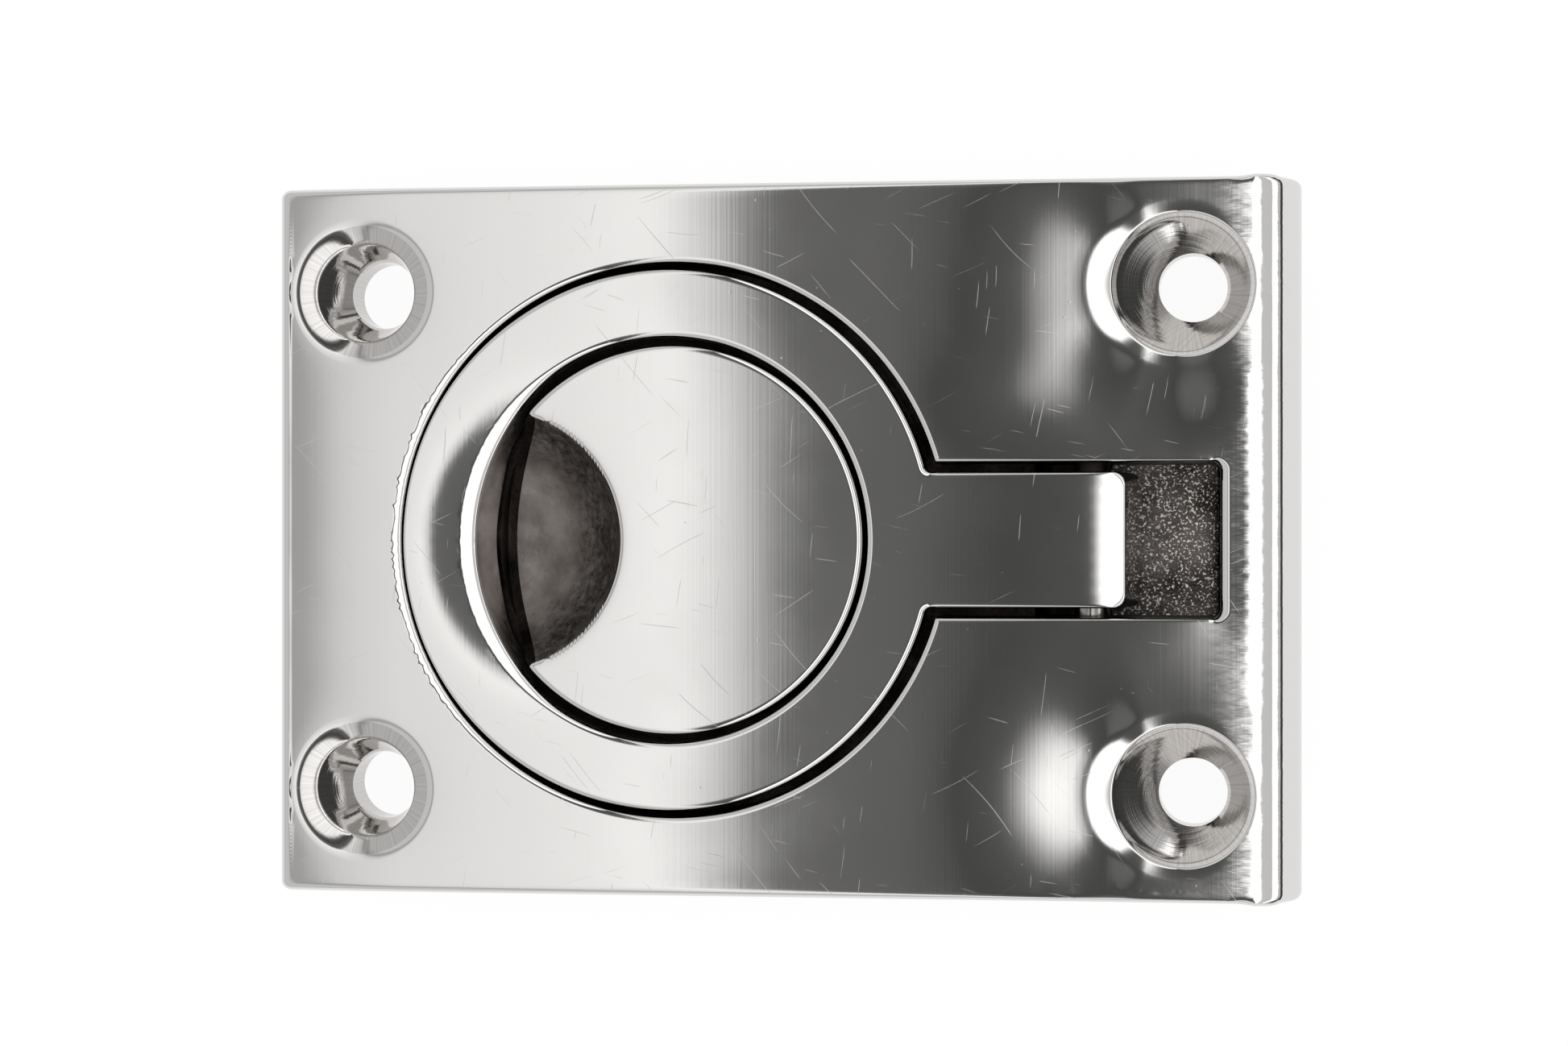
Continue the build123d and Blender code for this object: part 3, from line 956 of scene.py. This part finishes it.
@dataclass
class LiftRing:
    """The ring casting: band, stem and rounded heel, bored for the pin."""

    centre_x: float = -6.373
    outer_radius: float = 17.0
    inner_radius: float = 12.75
    stem_half: float = 4.225
    root_round: float = 0.4
    top_z: float = 4.5
    under_z: float = 0.9
    heel_x: float = 22.52
    heel_flare: float = 0.9
    crown_x: float = 19.3
    crown_round: float = 0.22
    edge_round: float = 0.35
    foot_round: float = 0.4
    heel_foot_round: float = 0.45
    dish_blend: float = 0.28
    crown_fall: float = 0.005
    crown_reach: float = 3.6
    edge_teeth: float = 0.03
    heel_corner: float = 0.75
    dish_x: float = -10.973
    dish_mouth: float = 10.35
    dish_sphere: float = 75.0
    # The inner edge on the free side, which fingers and the mop have worn wide
    worn_edge: Table = (
        (0.98, 0.0), (0.93, 0.007), (0.86, 0.020), (0.72, 0.050), (0.50, 0.103), (0.25, 0.174),
        (0.08, 0.236), (0.03, 0.286), (0.0, 0.398))
    worn_bulge: float = 0.35
    worn_slant: float = 0.45
    skin: Casting = field(default_factory=lambda: Casting("polished_ring"))

    def face(self, p: np.ndarray) -> np.ndarray:
        """Heights of the polished top, with the shallow dish at its free side."""
        x, y = p[:, 0], p[:, 1]
        r = np.hypot(x - self.dish_x, y)
        depth = (self.dish_mouth**2 - r**2) / (2 * self.dish_sphere)
        z = self.top_z - (depth + np.sqrt(depth**2 + self.dish_blend**2)) / 2 + 0.008
        z -= self.crown_fall * np.clip(x - self.crown_x, 0, self.crown_reach) ** 3
        z -= 0.006 * (1 + drift(p, 7.0, 21.0))
        return z

    def outline(self, inset: float, end_x: float, corner: float) -> np.ndarray:
        """The outer outline of ring and stem.

        Args:
            inset: How far it is moved into the metal along the ring and the stem's sides.
            end_x: Where the heel ends.
            corner: The heel's corner radius.

        Returns:
            An (n, 2) loop, anticlockwise. Every call gives the same number of points.
        """
        radius, half = self.outer_radius - inset, self.stem_half - inset
        root = self.root_round + inset
        reach = radius + root
        lift = half + root
        root_x = self.centre_x + math.sqrt(reach**2 - lift**2)
        join = math.atan2(lift, root_x - self.centre_x)
        ring = arc(self.centre_x, 0, radius, radius, join, 2 * math.pi - join, 401)
        upper_root = arc(root_x, lift, root, root, -math.pi / 2, join - math.pi, 9)
        side_end = end_x - corner
        side = straight(root_x, half, side_end, half, 34)
        upper_corner = arc(side_end, half - corner, corner, corner, 0, math.pi / 2, 11)
        end = straight(end_x, -half + corner, end_x, half - corner, 71)
        lower_root = upper_root[::-1] * [1, -1]
        lower_corner = upper_corner[::-1] * [1, -1]
        return chained(ring, lower_root, side * [1, -1], lower_corner, end, upper_corner, side[::-1],
                       upper_root)

    def rim(self, inset: float, z: float, end_x: float, end_z: float, corner: float) -> np.ndarray:
        """One row round the outer edge, whose heel may be at another height."""
        flat = self.outline(inset, end_x, corner)
        side_end = end_x - corner
        turn = np.clip((flat[:, 0] - side_end) / corner, 0, 1)
        beyond = (flat[:, 0] > side_end) & (np.abs(flat[:, 1]) <= self.stem_half - inset + 1e-6)
        share = np.where(beyond, 1 - np.sqrt(np.clip(1 - turn**2, 0, 1)), 0)
        return lifted(flat, z + (end_z - z) * share)

    def build_outer(self) -> tuple[np.ndarray, np.ndarray]:
        """The outer edges and walls, and the heel.

        Returns:
            The loop on the top, and the loop underneath.
        """
        crown_start = self.heel_x - self.crown_round
        lean = math.atan2(self.heel_flare, self.top_z - self.under_z)
        turn = math.pi / 2 - lean
        corner = self.heel_corner
        out_way = self.outline(0, crown_start, corner) - [self.centre_x, 0]
        out_way /= np.hypot(*out_way.T)[:, None]
        tight = 0.6 * smooth_step(-out_way[:, 0], *FREE_SIDE)
        spread = out_way * (tight * self.edge_round)[:, None]
        rows = []
        for extra in (0.8, 0.35, 0.06):
            inset = self.edge_round + extra
            row = self.rim(inset, 0, crown_start - extra, 0, corner)
            row[:, :2] += spread
            row[:, 2] = self.face(row)
            rows.append(row)
        base = self.rim(self.edge_round, 0, crown_start, 0, corner)
        base[:, :2] += spread
        top = self.face(base)
        for i, (out, down) in enumerate(quarter(9)):
            a = turn * i / 9
            end_x = crown_start + self.crown_round * math.sin(a)
            end_drop = self.crown_round * (1 - math.cos(a))
            row = self.rim(self.edge_round * out, self.edge_round * down, end_x, end_drop, corner)
            row[:, :2] += spread * out
            row[:, 2] = top - row[:, 2] * (1 - tight)
            rows.append(row)
        self.skin.band(rows, Skin.POLISHED)
        last_x = crown_start + self.crown_round * math.sin(turn)
        last_drop = self.crown_round * (1 - math.cos(turn))
        walls = [rows[-1]]
        for share in (0.3, 0.65, 1.0):
            foot_z = self.under_z + self.heel_foot_round
            z, end_z = (self.top_z - drop + (foot_z - self.top_z + drop) * share
                        for drop in (self.edge_round, last_drop))
            end_x = last_x + (self.top_z - last_drop - end_z) * math.tan(lean)
            walls.append(self.rim(0, z, end_x, end_z, corner))
        foot_x = walls[-1][:, 0].max()
        for out, down in quarter(5)[1:]:
            z = self.under_z + self.heel_foot_round * out
            end_x = foot_x + 0.06 - self.heel_foot_round * down
            walls.append(self.rim(0.18 * down, z, end_x, z, corner))
        self.skin.band(walls, Skin.POLISHED)
        return rows[0], walls[-1]

    def build_inner(self) -> tuple[np.ndarray, np.ndarray]:
        """The hole through the ring.

        Returns:
            The loop on the top, and the loop underneath.
        """
        around = np.linspace(0, 2 * math.pi, 401)[:-1]

        def hole(radius: np.ndarray | float) -> np.ndarray:
            return np.column_stack([self.centre_x + radius * np.cos(around), radius * np.sin(around)])

        worn = smooth_step(-np.cos(around), 0.5, 1.0)
        bulge = self.worn_bulge * worn
        slant = self.worn_slant * smooth_step(-np.cos(around), 0.87, 1.0)
        reach = self.edge_round * (1 - worn) + self.worn_edge[0][0] * worn - bulge
        rows = []
        for extra in (0.8, 0.35, 0.06):
            flat = hole(self.inner_radius + reach + extra)
            rows.append(lifted(flat, self.face(flat)))
        outer = self.face(hole(self.inner_radius + reach))
        tooth = 1 + self.edge_teeth * worn * np.random.default_rng(8).uniform(-1, 1, len(worn))
        for out, down in eased(self.edge_round, self.worn_edge, worn):
            rows.append(lifted(hole(self.inner_radius - bulge + out * tooth), outer - down))
        self.skin.band(rows, Skin.POLISHED)
        top = rows[-1][:, 2]
        foot = self.under_z + self.foot_round
        walls = [rows[-1]] + [lifted(hole(self.inner_radius - bulge - slant * share),
                                     top + (foot - top) * share) for share in (0.35, 0.7, 1.0)]
        for out, down in quarter(5)[1:]:
            walls.append(lifted(hole(self.inner_radius - bulge - slant + self.foot_round * down),
                                self.under_z + self.foot_round * out))
        self.skin.band(walls, Skin.TUMBLED)
        return rows[0], walls[-1]

    def build(self) -> bpy.types.Object:
        """Builds the whole casting and returns its object."""
        outer_top, outer_foot = self.build_outer()
        inner_top, inner_foot = self.build_inner()
        for loops, pitch, skin in (((outer_top, inner_top), 0.6, Skin.POLISHED),
                                   ((outer_foot, inner_foot), 1.1, Skin.AS_CAST)):
            flat = field_points(-24, 24, -17.5, 17.5, pitch)
            flat = between(flat, loops, 0.5 * pitch)
            under = np.full(len(flat), self.under_z)
            z = self.face(flat) if skin is Skin.POLISHED else under
            self.skin.patch(loops, lifted(flat, z), skin)
        return bpy.data.objects.new(self.skin.name, self.skin.mesh())


# ---------------------------------------------------------------- pin


@dataclass
class HingePin:
    """The plain rod, broken at both ends."""

    x: float = 20.25
    z: float = 2.1
    radius: float = 1.1
    near_y: float = -22.4
    far_y: float = 8.8
    chamfer: float = 0.18
    skin: Casting = field(default_factory=lambda: Casting("drawn_pin"))

    def build(self) -> bpy.types.Object:
        """Turns the rod's profile round its axis and returns its object."""
        profile = [(self.radius - self.chamfer, self.near_y), (self.radius - 0.04, self.near_y + 0.1),
                   (self.radius, self.near_y + self.chamfer), (self.radius, 0.0),
                   (self.radius, self.far_y - self.chamfer), (self.radius - self.chamfer, self.far_y)]
        rows = []
        for radius, y in profile:
            ring = circle(self.x, self.z, radius, PIN_SIDES)
            rows.append(np.column_stack([ring[:, 0], np.full(len(ring), y), ring[:, 1]]))
        self.skin.band(rows[:4], Skin.POLISHED)
        # The far part and its end take the pin's second material, near-black painted shade
        self.skin.band(rows[3:], Skin.AS_CAST)
        for end, skin in ((rows[0], Skin.POLISHED), (rows[-1], Skin.AS_CAST)):
            self.skin.patch([end], np.empty((0, 3)), skin, plan=lambda q: q[:, [0, 2]])
        return bpy.data.objects.new(self.skin.name, self.skin.mesh())


# ---------------------------------------------------------------- finishes


def linear(hex_code: str) -> tuple[float, float, float, float]:
    """An sRGB hex colour as linear red, green, blue and alpha."""
    parts = [int(hex_code.lstrip("#")[i:i + 2], 16) / 255 for i in (0, 2, 4)]
    light = [c / 12.92 if c <= 0.04045 else ((c + 0.055) / 1.055) ** 2.4 for c in parts]
    return (*light, 1.0)


@dataclass
class Nodes:
    """A node tree with one way of adding to it."""

    tree: bpy.types.NodeTree

    def fill(self, node: bpy.types.Node, values: dict) -> bpy.types.Node:
        """Fills in a node.

        Args:
            node: A node of the tree.
            values: Its attributes by name, and its inputs by index or socket name, each with a
                value or with the socket that feeds it.

        Returns:
            The node.
        """
        for key, value in values.items():
            if isinstance(value, bpy.types.NodeSocket):
                self.tree.links.new(value, node.inputs[key])
            elif isinstance(key, int) or key in node.inputs:
                node.inputs[key].default_value = value
            else:
                setattr(node, key, value)
        return node

    def add(self, kind: str, values: dict | None = None) -> bpy.types.Node:
        """Adds a node by its type name, a shader node's without its ShaderNode prefix."""
        whole = kind.startswith(("Geometry", "NodeGroup"))
        return self.fill(self.tree.nodes.new(kind if whole else "ShaderNode" + kind), values or {})

    def out(self, kind: str, values: dict | None = None) -> bpy.types.NodeSocket:
        """Adds a node and returns its first result."""
        return self.add(kind, values).outputs[0]

    def math(self, operation: str, *terms: float | bpy.types.NodeSocket) -> bpy.types.NodeSocket:
        """Works a sum over numbers and sockets."""
        return self.out("Math", {"operation": operation} | dict(enumerate(terms)))

    def ramp(self, source: bpy.types.NodeSocket,
             stops: Sequence[tuple[float, float]]) -> bpy.types.NodeSocket:
        """Maps a value through grey stops and returns the result's socket."""
        node = self.add("ValToRGB", {"Fac": source})
        elements = node.color_ramp.elements
        while len(elements) < len(stops):
            elements.new(0.5)
        for element, (place, grey) in zip(elements, stops):
            element.position = place
            element.color = (grey, grey, grey, 1)
        return node.outputs["Color"]

    def blend(self, share: bpy.types.NodeSocket, low: object, high: object) -> bpy.types.NodeSocket:
        """Mixes two colours by a share."""
        return self.add("Mix", {"data_type": "RGBA", 0: share, 6: low, 7: high}).outputs[2]

    def spread(self, source: bpy.types.NodeSocket, low: float, high: float, middle: float,
               shares: tuple[float, float]) -> bpy.types.NodeSocket:
        """Maps a value between two bounds to shares of a middle value."""
        return self.out("MapRange", {"Value": source, "From Min": low, "From Max": high,
                                     "To Min": middle * shares[0], "To Max": middle * shares[1]})


def new_metal(name: str) -> tuple[bpy.types.Material, Nodes, bpy.types.Node, bpy.types.NodeSocket]:
    """Starts a plain metal: its material, nodes and shader, and the socket of places on the object."""
    material = bpy.data.materials.new(name)
    material.use_nodes = True
    nodes = Nodes(material.node_tree)
    shader = nodes.fill(material.node_tree.nodes["Principled BSDF"], {"Metallic": 1.0})
    return material, nodes, shader, nodes.add("TexCoord").outputs["Object"]


@dataclass(frozen=True)
class PolishedStainless:
    """Cast 316 stainless steel, mopped to a mirror.

    It mirrors the room almost sharply. Hairlines left by the last mop run across the length,
    and handling has left a few fine scratches and pin-prick specks.
    """

    name: str = "polished_316_stainless"
    colour: str = "#DAD9D7"
    roughness: float = 0.05
    hairline_mm: float = 0.16
    speck_mm: float = 1.9
    scratch_height: float = 0.12
    scratch_haze: float = 0.09

    def make(self) -> bpy.types.Material:
        """Returns the material."""
        material, nodes, shader, place = new_metal(self.name)
        height = self._hairlines(nodes, place)
        marks = self._scratches(nodes, place)
        mopped = nodes.math("ADD", height, self._strokes(nodes, place))
        total = nodes.math("MULTIPLY_ADD", marks, self.scratch_height, mopped)
        bump = nodes.out("Bump", {"Strength": 0.25, "Distance": 0.02 * MM, "Height": total})
        haze = nodes.out("TexNoise", {"Scale": 1 / (6 * MM), "Detail": 3.0, "Vector": place})
        rough = nodes.spread(haze, 0.3, 0.75, self.roughness, (0.8, 1.7))
        nodes.fill(shader, {"Base Color": linear(self.colour), "Normal": bump,
                            "Roughness": nodes.math("MULTIPLY_ADD", marks, self.scratch_haze, rough)})
        return material

    def _hairlines(self, nodes: Nodes, place: bpy.types.NodeSocket) -> bpy.types.NodeSocket:
        """Very faint lines across the length, from the mop."""
        scale = (1 / self.hairline_mm / MM, 0.03 / MM, 0.2 / MM)
        stretch = nodes.out("Mapping", {"Scale": scale, "Vector": place})
        lines = nodes.out("TexNoise", {"Scale": 1.0, "Detail": 2.0, "Vector": stretch})
        return nodes.math("MULTIPLY", lines, 0.08)

    def _strokes(self, nodes: Nodes, place: bpy.types.NodeSocket) -> bpy.types.NodeSocket:
        """Long strokes that fan over the start of the bullnose, where it was dressed by hand."""
        stretch = nodes.out("Mapping", {"vector_type": "TEXTURE", "Vector": place,
                                        "Scale": (2.6 * MM, 0.3 * MM, 3 * MM)})
        lines = nodes.out("TexNoise", {"Scale": 1.0, "Detail": 2.0, "Vector": stretch})
        near = nodes.out("MapRange", {"interpolation_type": "SMOOTHSTEP", "From Min": 27.0 * MM,
                                      "From Max": 30.6 * MM, "To Max": 5.0,
                                      "Value": nodes.out("SeparateXYZ", {0: place})})
        return nodes.math("MULTIPLY", lines, near)

    def _scratches(self, nodes: Nodes, place: bpy.types.NodeSocket) -> bpy.types.NodeSocket:
        """Sparse fine scratches in four directions, and specks."""
        wander = nodes.add("TexNoise", {"Scale": 1 / (7 * MM), "Detail": 0.0, "Vector": place})
        bent = nodes.out("VectorMath", {"operation": "MULTIPLY_ADD", 0: wander.outputs["Color"],
                                        1: (1.4 * MM,) * 3, 2: place})
        total = None
        # Each run of scratches: its direction, their length and width, and how few are kept
        for turn, length, width, cut in ((0.45, 5.0, 0.10, 0.835), (1.45, 3.5, 0.09, 0.85),
                                         (2.3, 7.0, 0.09, 0.84), (2.95, 2.6, 0.10, 0.84)):
            stretch = nodes.out("Mapping", {"vector_type": "TEXTURE", "Rotation": (0, 0, turn),
                                            "Scale": (length * MM, width * MM, 2 * MM), "Vector": bent})
            lines = nodes.out("TexNoise", {"Scale": 1.0, "Detail": 0.0, "Vector": stretch})
            thin = nodes.ramp(lines, [(cut, 0), (cut + 0.03, 1)])
            total = thin if total is None else nodes.math("MAXIMUM", total, thin)
        cells = nodes.out("TexVoronoi", {"Scale": 1 / self.speck_mm / MM, "Randomness": 1.0,
                                         "Vector": place})
        return nodes.math("MAXIMUM", total, nodes.ramp(cells, [(0.02, 1), (0.045, 0)]))


@dataclass(frozen=True)
class AsCastStainless:
    """Stainless steel with a grain, from the mould, the tumbler or the drawing die, or near black as
    painted shade.

    Left as cast it is a dull brownish grey whose grains catch the light one by one, some as painted
    glints.
    """

    name: str
    colour: str = "#8E867D"
    dark: str = "#5B534C"
    roughness: float = 0.42
    grain_mm: float = 0.22
    depth_mm: float = 0.09
    # How much of the colour is painted glint, as bright flecks, and their colour
    painted_glints: float = 0.0
    painted_glint_colour: str = "#F0ECE8"

    def make(self) -> bpy.types.Material:
        """Returns the material."""
        material, nodes, shader, place = new_metal(self.name)
        grain = nodes.out("TexNoise", {"Scale": 1 / self.grain_mm / MM, "Detail": 4.0,
                                       "Roughness": 0.65, "Vector": place})
        stain = nodes.out("TexNoise", {"Scale": 1 / (2.4 * MM), "Detail": 4.0, "Vector": place})
        stained = nodes.blend(nodes.ramp(stain, [(0.35, 0), (0.62, 1)]), linear(self.dark),
                              linear(self.colour))
        # Painted glints: bright flecks in the colour where grains would catch the light
        glint_noise = nodes.out("TexNoise", {"Scale": 1 / (0.16 * MM), "Detail": 1.0, "Vector": place})
        shown = nodes.ramp(glint_noise, [(0.56, 0), (0.66, self.painted_glints)])
        bump = nodes.out("Bump", {"Strength": 0.8, "Distance": self.depth_mm * MM, "Height": grain})
        nodes.fill(shader, {"Base Color": nodes.blend(shown, stained, linear(self.painted_glint_colour)),
                            "Roughness": nodes.spread(grain, 0.3, 0.7, self.roughness, (0.7, 1.3)),
                            "Normal": bump})
        return material


@dataclass(frozen=True)
class MachinedStainless:
    """Stainless steel as the countersink cutter leaves it.

    Fine rings run round each hole, so light spreads across them and the cone looks satin.
    """

    screw_x_mm: float
    screw_y_mm: float
    name: str = "machined_316_stainless"
    colour: str = "#CCCAC8"
    ticked: str = "#B8B5B3"
    roughness: float = 0.06
    ring_mm: float = 0.19
    ticks: float = 21.0

    def make(self) -> bpy.types.Material:
        """Returns the material."""
        material, nodes, shader, place = new_metal(self.name)
        folded = nodes.out("VectorMath", {"operation": "ABSOLUTE", 0: place})
        middle = (self.screw_x_mm * MM, self.screw_y_mm * MM, 0)
        local = nodes.out("VectorMath", {"operation": "SUBTRACT", 0: folded, 1: middle})
        flat = nodes.out("VectorMath", {"operation": "MULTIPLY", 0: local, 1: (1, 1, 0)})
        radius = nodes.add("VectorMath", {"operation": "LENGTH", 0: flat}).outputs["Value"]
        wander = nodes.out("TexNoise", {"Scale": 1 / (1.4 * MM), "Detail": 1.0, "Vector": place})
        rings = nodes.out("TexNoise", {"noise_dimensions": "1D", "Scale": 1 / self.ring_mm / MM,
                                       "Detail": 3.0, "Roughness": 0.7,
                                       "W": nodes.math("MULTIPLY_ADD", wander, 0.08 * MM, radius)})
        parts = nodes.add("SeparateXYZ", {0: flat}).outputs
        turn = nodes.out("CombineXYZ", {0: nodes.math("ARCTAN2", parts[1], parts[0])})
        ticks = nodes.out("TexNoise", {"noise_dimensions": "2D", "Scale": self.ticks, "Detail": 3.0,
                                       "Roughness": 0.7, "Vector": turn})
        shown = nodes.ramp(ticks, [(0.3, 0), (0.6, 1)])
        bump = nodes.out("Bump", {"Strength": 0.14, "Distance": 0.02 * MM, "Height": rings})
        nodes.fill(shader, {"Base Color": nodes.blend(shown, linear(self.ticked), linear(self.colour)),
                            "Roughness": nodes.spread(rings, 0.3, 0.7, self.roughness, (0.7, 1.5)),
                            "Normal": bump})
        return material


# ---------------------------------------------------------------- studio


@dataclass
class Studio:
    """The room that the steel mirrors, the pale floor and the camera."""

    strength: float = 2.0
    floor_z: float = -3.3
    camera_foot_mm: float = 32.5
    camera_above_mm: float = 150.0
    lean: float = 0.0987
    lens_mm: float = 56.1
    shift: tuple[float, float] = (-0.1682, 0.0108)
    # Light met at each angle from straight up, towards the hinge, in degrees
    room: Table = (
        (-88, 0.70), (-37, 0.72), (-31, 0.46), (-29, 0.47), (-26, 0.80), (-24, 0.90), (-22, 0.95),
        (-18.5, 1.04), (-16.5, 1.12), (-14.8, 1.25), (-13.8, 0.95), (-13.05, 0.60), (-12.7, 0.31),
        (-12.3, 0.186),
        (-11.9, 0.16), (-9, 0.153), (-7.7, 0.103), (-7.1, 0.078), (-4, 0.10), (-2.6, 0.13),
        (-1.2, 0.5), (0.5, 1.5), (18, 1.6), (21, 0.74), (43, 0.72), (45, 1.9), (57, 1.9),
        (59, 0.68), (66, 0.66), (70, 0.08), (89, 0.04),
    )

    def build_world(self) -> None:
        """Lights the steel from a room whose brightness changes along the length only."""
        world = bpy.data.worlds.new("studio_room")
        bpy.context.scene.world = world
        world.use_nodes = True
        nodes = Nodes(world.node_tree)
        room = world.node_tree.nodes["Background"]
        parts = nodes.add("SeparateXYZ", {0: nodes.add("TexCoord").outputs["Generated"]}).outputs
        place = nodes.out("MapRange", {"From Min": -math.pi / 2, "From Max": math.pi / 2,
                                       "Value": nodes.math("ARCTAN2", parts[0], parts[2])})
        stops = [((degrees + 90) / 180, light / self.strength) for degrees, light in self.room]
        nodes.fill(room, {"Color": nodes.ramp(place, stops), "Strength": self.strength})
        seen = nodes.add("LightPath").outputs["Is Camera Ray"]
        white = nodes.out("Background", {"Color": (1, 1, 1, 1), "Strength": 1.0})
        mix = nodes.out("MixShader", {0: seen, 1: room.outputs[0], 2: white})
        nodes.fill(world.node_tree.nodes["World Output"], {"Surface": mix})

    def build_floor(self) -> None:
        """A white floor that keeps a faint shadow."""
        data = bpy.data.meshes.new("studio_floor")
        span = 0.9
        corners = [(-span, -span), (span, -span), (span, span), (-span, span)]
        data.from_pydata([(x, y, self.floor_z * MM) for x, y in corners], [], [(0, 1, 2, 3)])
        floor = bpy.data.objects.new("studio_floor", data)
        bpy.context.scene.collection.objects.link(floor)
        material = bpy.data.materials.new("white_card")
        material.use_nodes = True
        nodes = Nodes(material.node_tree)
        card = nodes.fill(material.node_tree.nodes["Principled BSDF"],
                          {"Base Color": linear("#F2F2F2"), "Roughness": 0.9})
        path = nodes.add("LightPath").outputs
        direct = nodes.math("MAXIMUM", path["Is Camera Ray"], path["Is Glossy Ray"])
        shown = nodes.math("MAXIMUM", direct, path["Is Transmission Ray"])
        share = nodes.math("MULTIPLY", shown, 0.9)
        glow = nodes.out("Emission", {"Color": (1, 1, 1, 1), "Strength": 1.04})
        mix = nodes.out("MixShader", {0: share, 1: card.outputs[0], 2: glow})
        nodes.fill(material.node_tree.nodes["Material Output"], {"Surface": mix})
        data.materials.append(material)

    def build_camera(self) -> None:
        """Looks down from over the hinge end, leaning towards the ring."""
        data = bpy.data.cameras.new("overhead")
        data.lens = self.lens_mm
        data.shift_x, data.shift_y = self.shift
        data.clip_start = 0.01
        camera = bpy.data.objects.new("overhead", data)
        camera.location = Vector((self.camera_foot_mm, 0, BasePlate.face_z + self.camera_above_mm)) * MM
        camera.rotation_euler = Euler((0, math.atan(self.lean), 0))
        bpy.context.scene.collection.objects.link(camera)
        bpy.context.scene.camera = camera


# ---------------------------------------------------------------- the whole


def dress(piece: bpy.types.Object, body: str, node: str,
          finishes: Sequence[bpy.types.Material]) -> None:
    """Puts a piece in the scene in place of a node of the frame.

    Args:
        piece: The new object.
        body: The body it rides on.
        node: The node it stands for.
        finishes: Its materials, in the order of Skin; the pin has two, for its near and far part.
    """
    for finish in finishes:
        piece.data.materials.append(finish)
    bpy.context.scene.collection.objects.link(piece)
    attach(piece, body)
    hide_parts(node)
    LOG.info("%s rides on %s", piece.name, body)


def main() -> None:
    bpy.context.scene.view_settings.view_transform = "Standard"
    polished = PolishedStainless().make()
    grainy = AsCastStainless("as_cast_316_stainless").make()
    satin = AsCastStainless("tumbled_316_stainless", "#B4AFAC", "#8F8985",
                            roughness=0.36, grain_mm=0.5, depth_mm=0.02).make()
    # Near-black metal standing in for shade: painted shade in the recess and on the pin's far part
    painted_shade = AsCastStainless("oxidised_316_stainless", "#37322F", "#191615",
                            roughness=0.45, grain_mm=0.3, depth_mm=0.06).make()
    # The trough's metal, whose bright flecks are painted glints
    coarse = AsCastStainless("sand_cast_316_stainless", "#6E6864", "#38332F",
                             roughness=0.16, grain_mm=0.17, depth_mm=0.09, painted_glints=0.85).make()
    drawn = AsCastStainless("drawn_304_stainless", "#B0ADAA", "#8E8B88",
                            roughness=0.14, grain_mm=0.4, depth_mm=0.006).make()
    machined = MachinedStainless(HINGE_SINKS.x, BasePlate.screw_y).make()
    finishes = [polished, grainy, machined, satin, painted_shade, coarse]
    dress(BasePlate(machined).build(), "plate", "base_plate", finishes)
    dress(LiftRing().build(), "ring", "lift_ring", finishes)
    dress(HingePin().build(), "plate", "hinge_pin", [drawn, painted_shade])
    studio = Studio()
    studio.build_world()
    studio.build_floor()
    studio.build_camera()


if __name__ == "__main__":
    main()
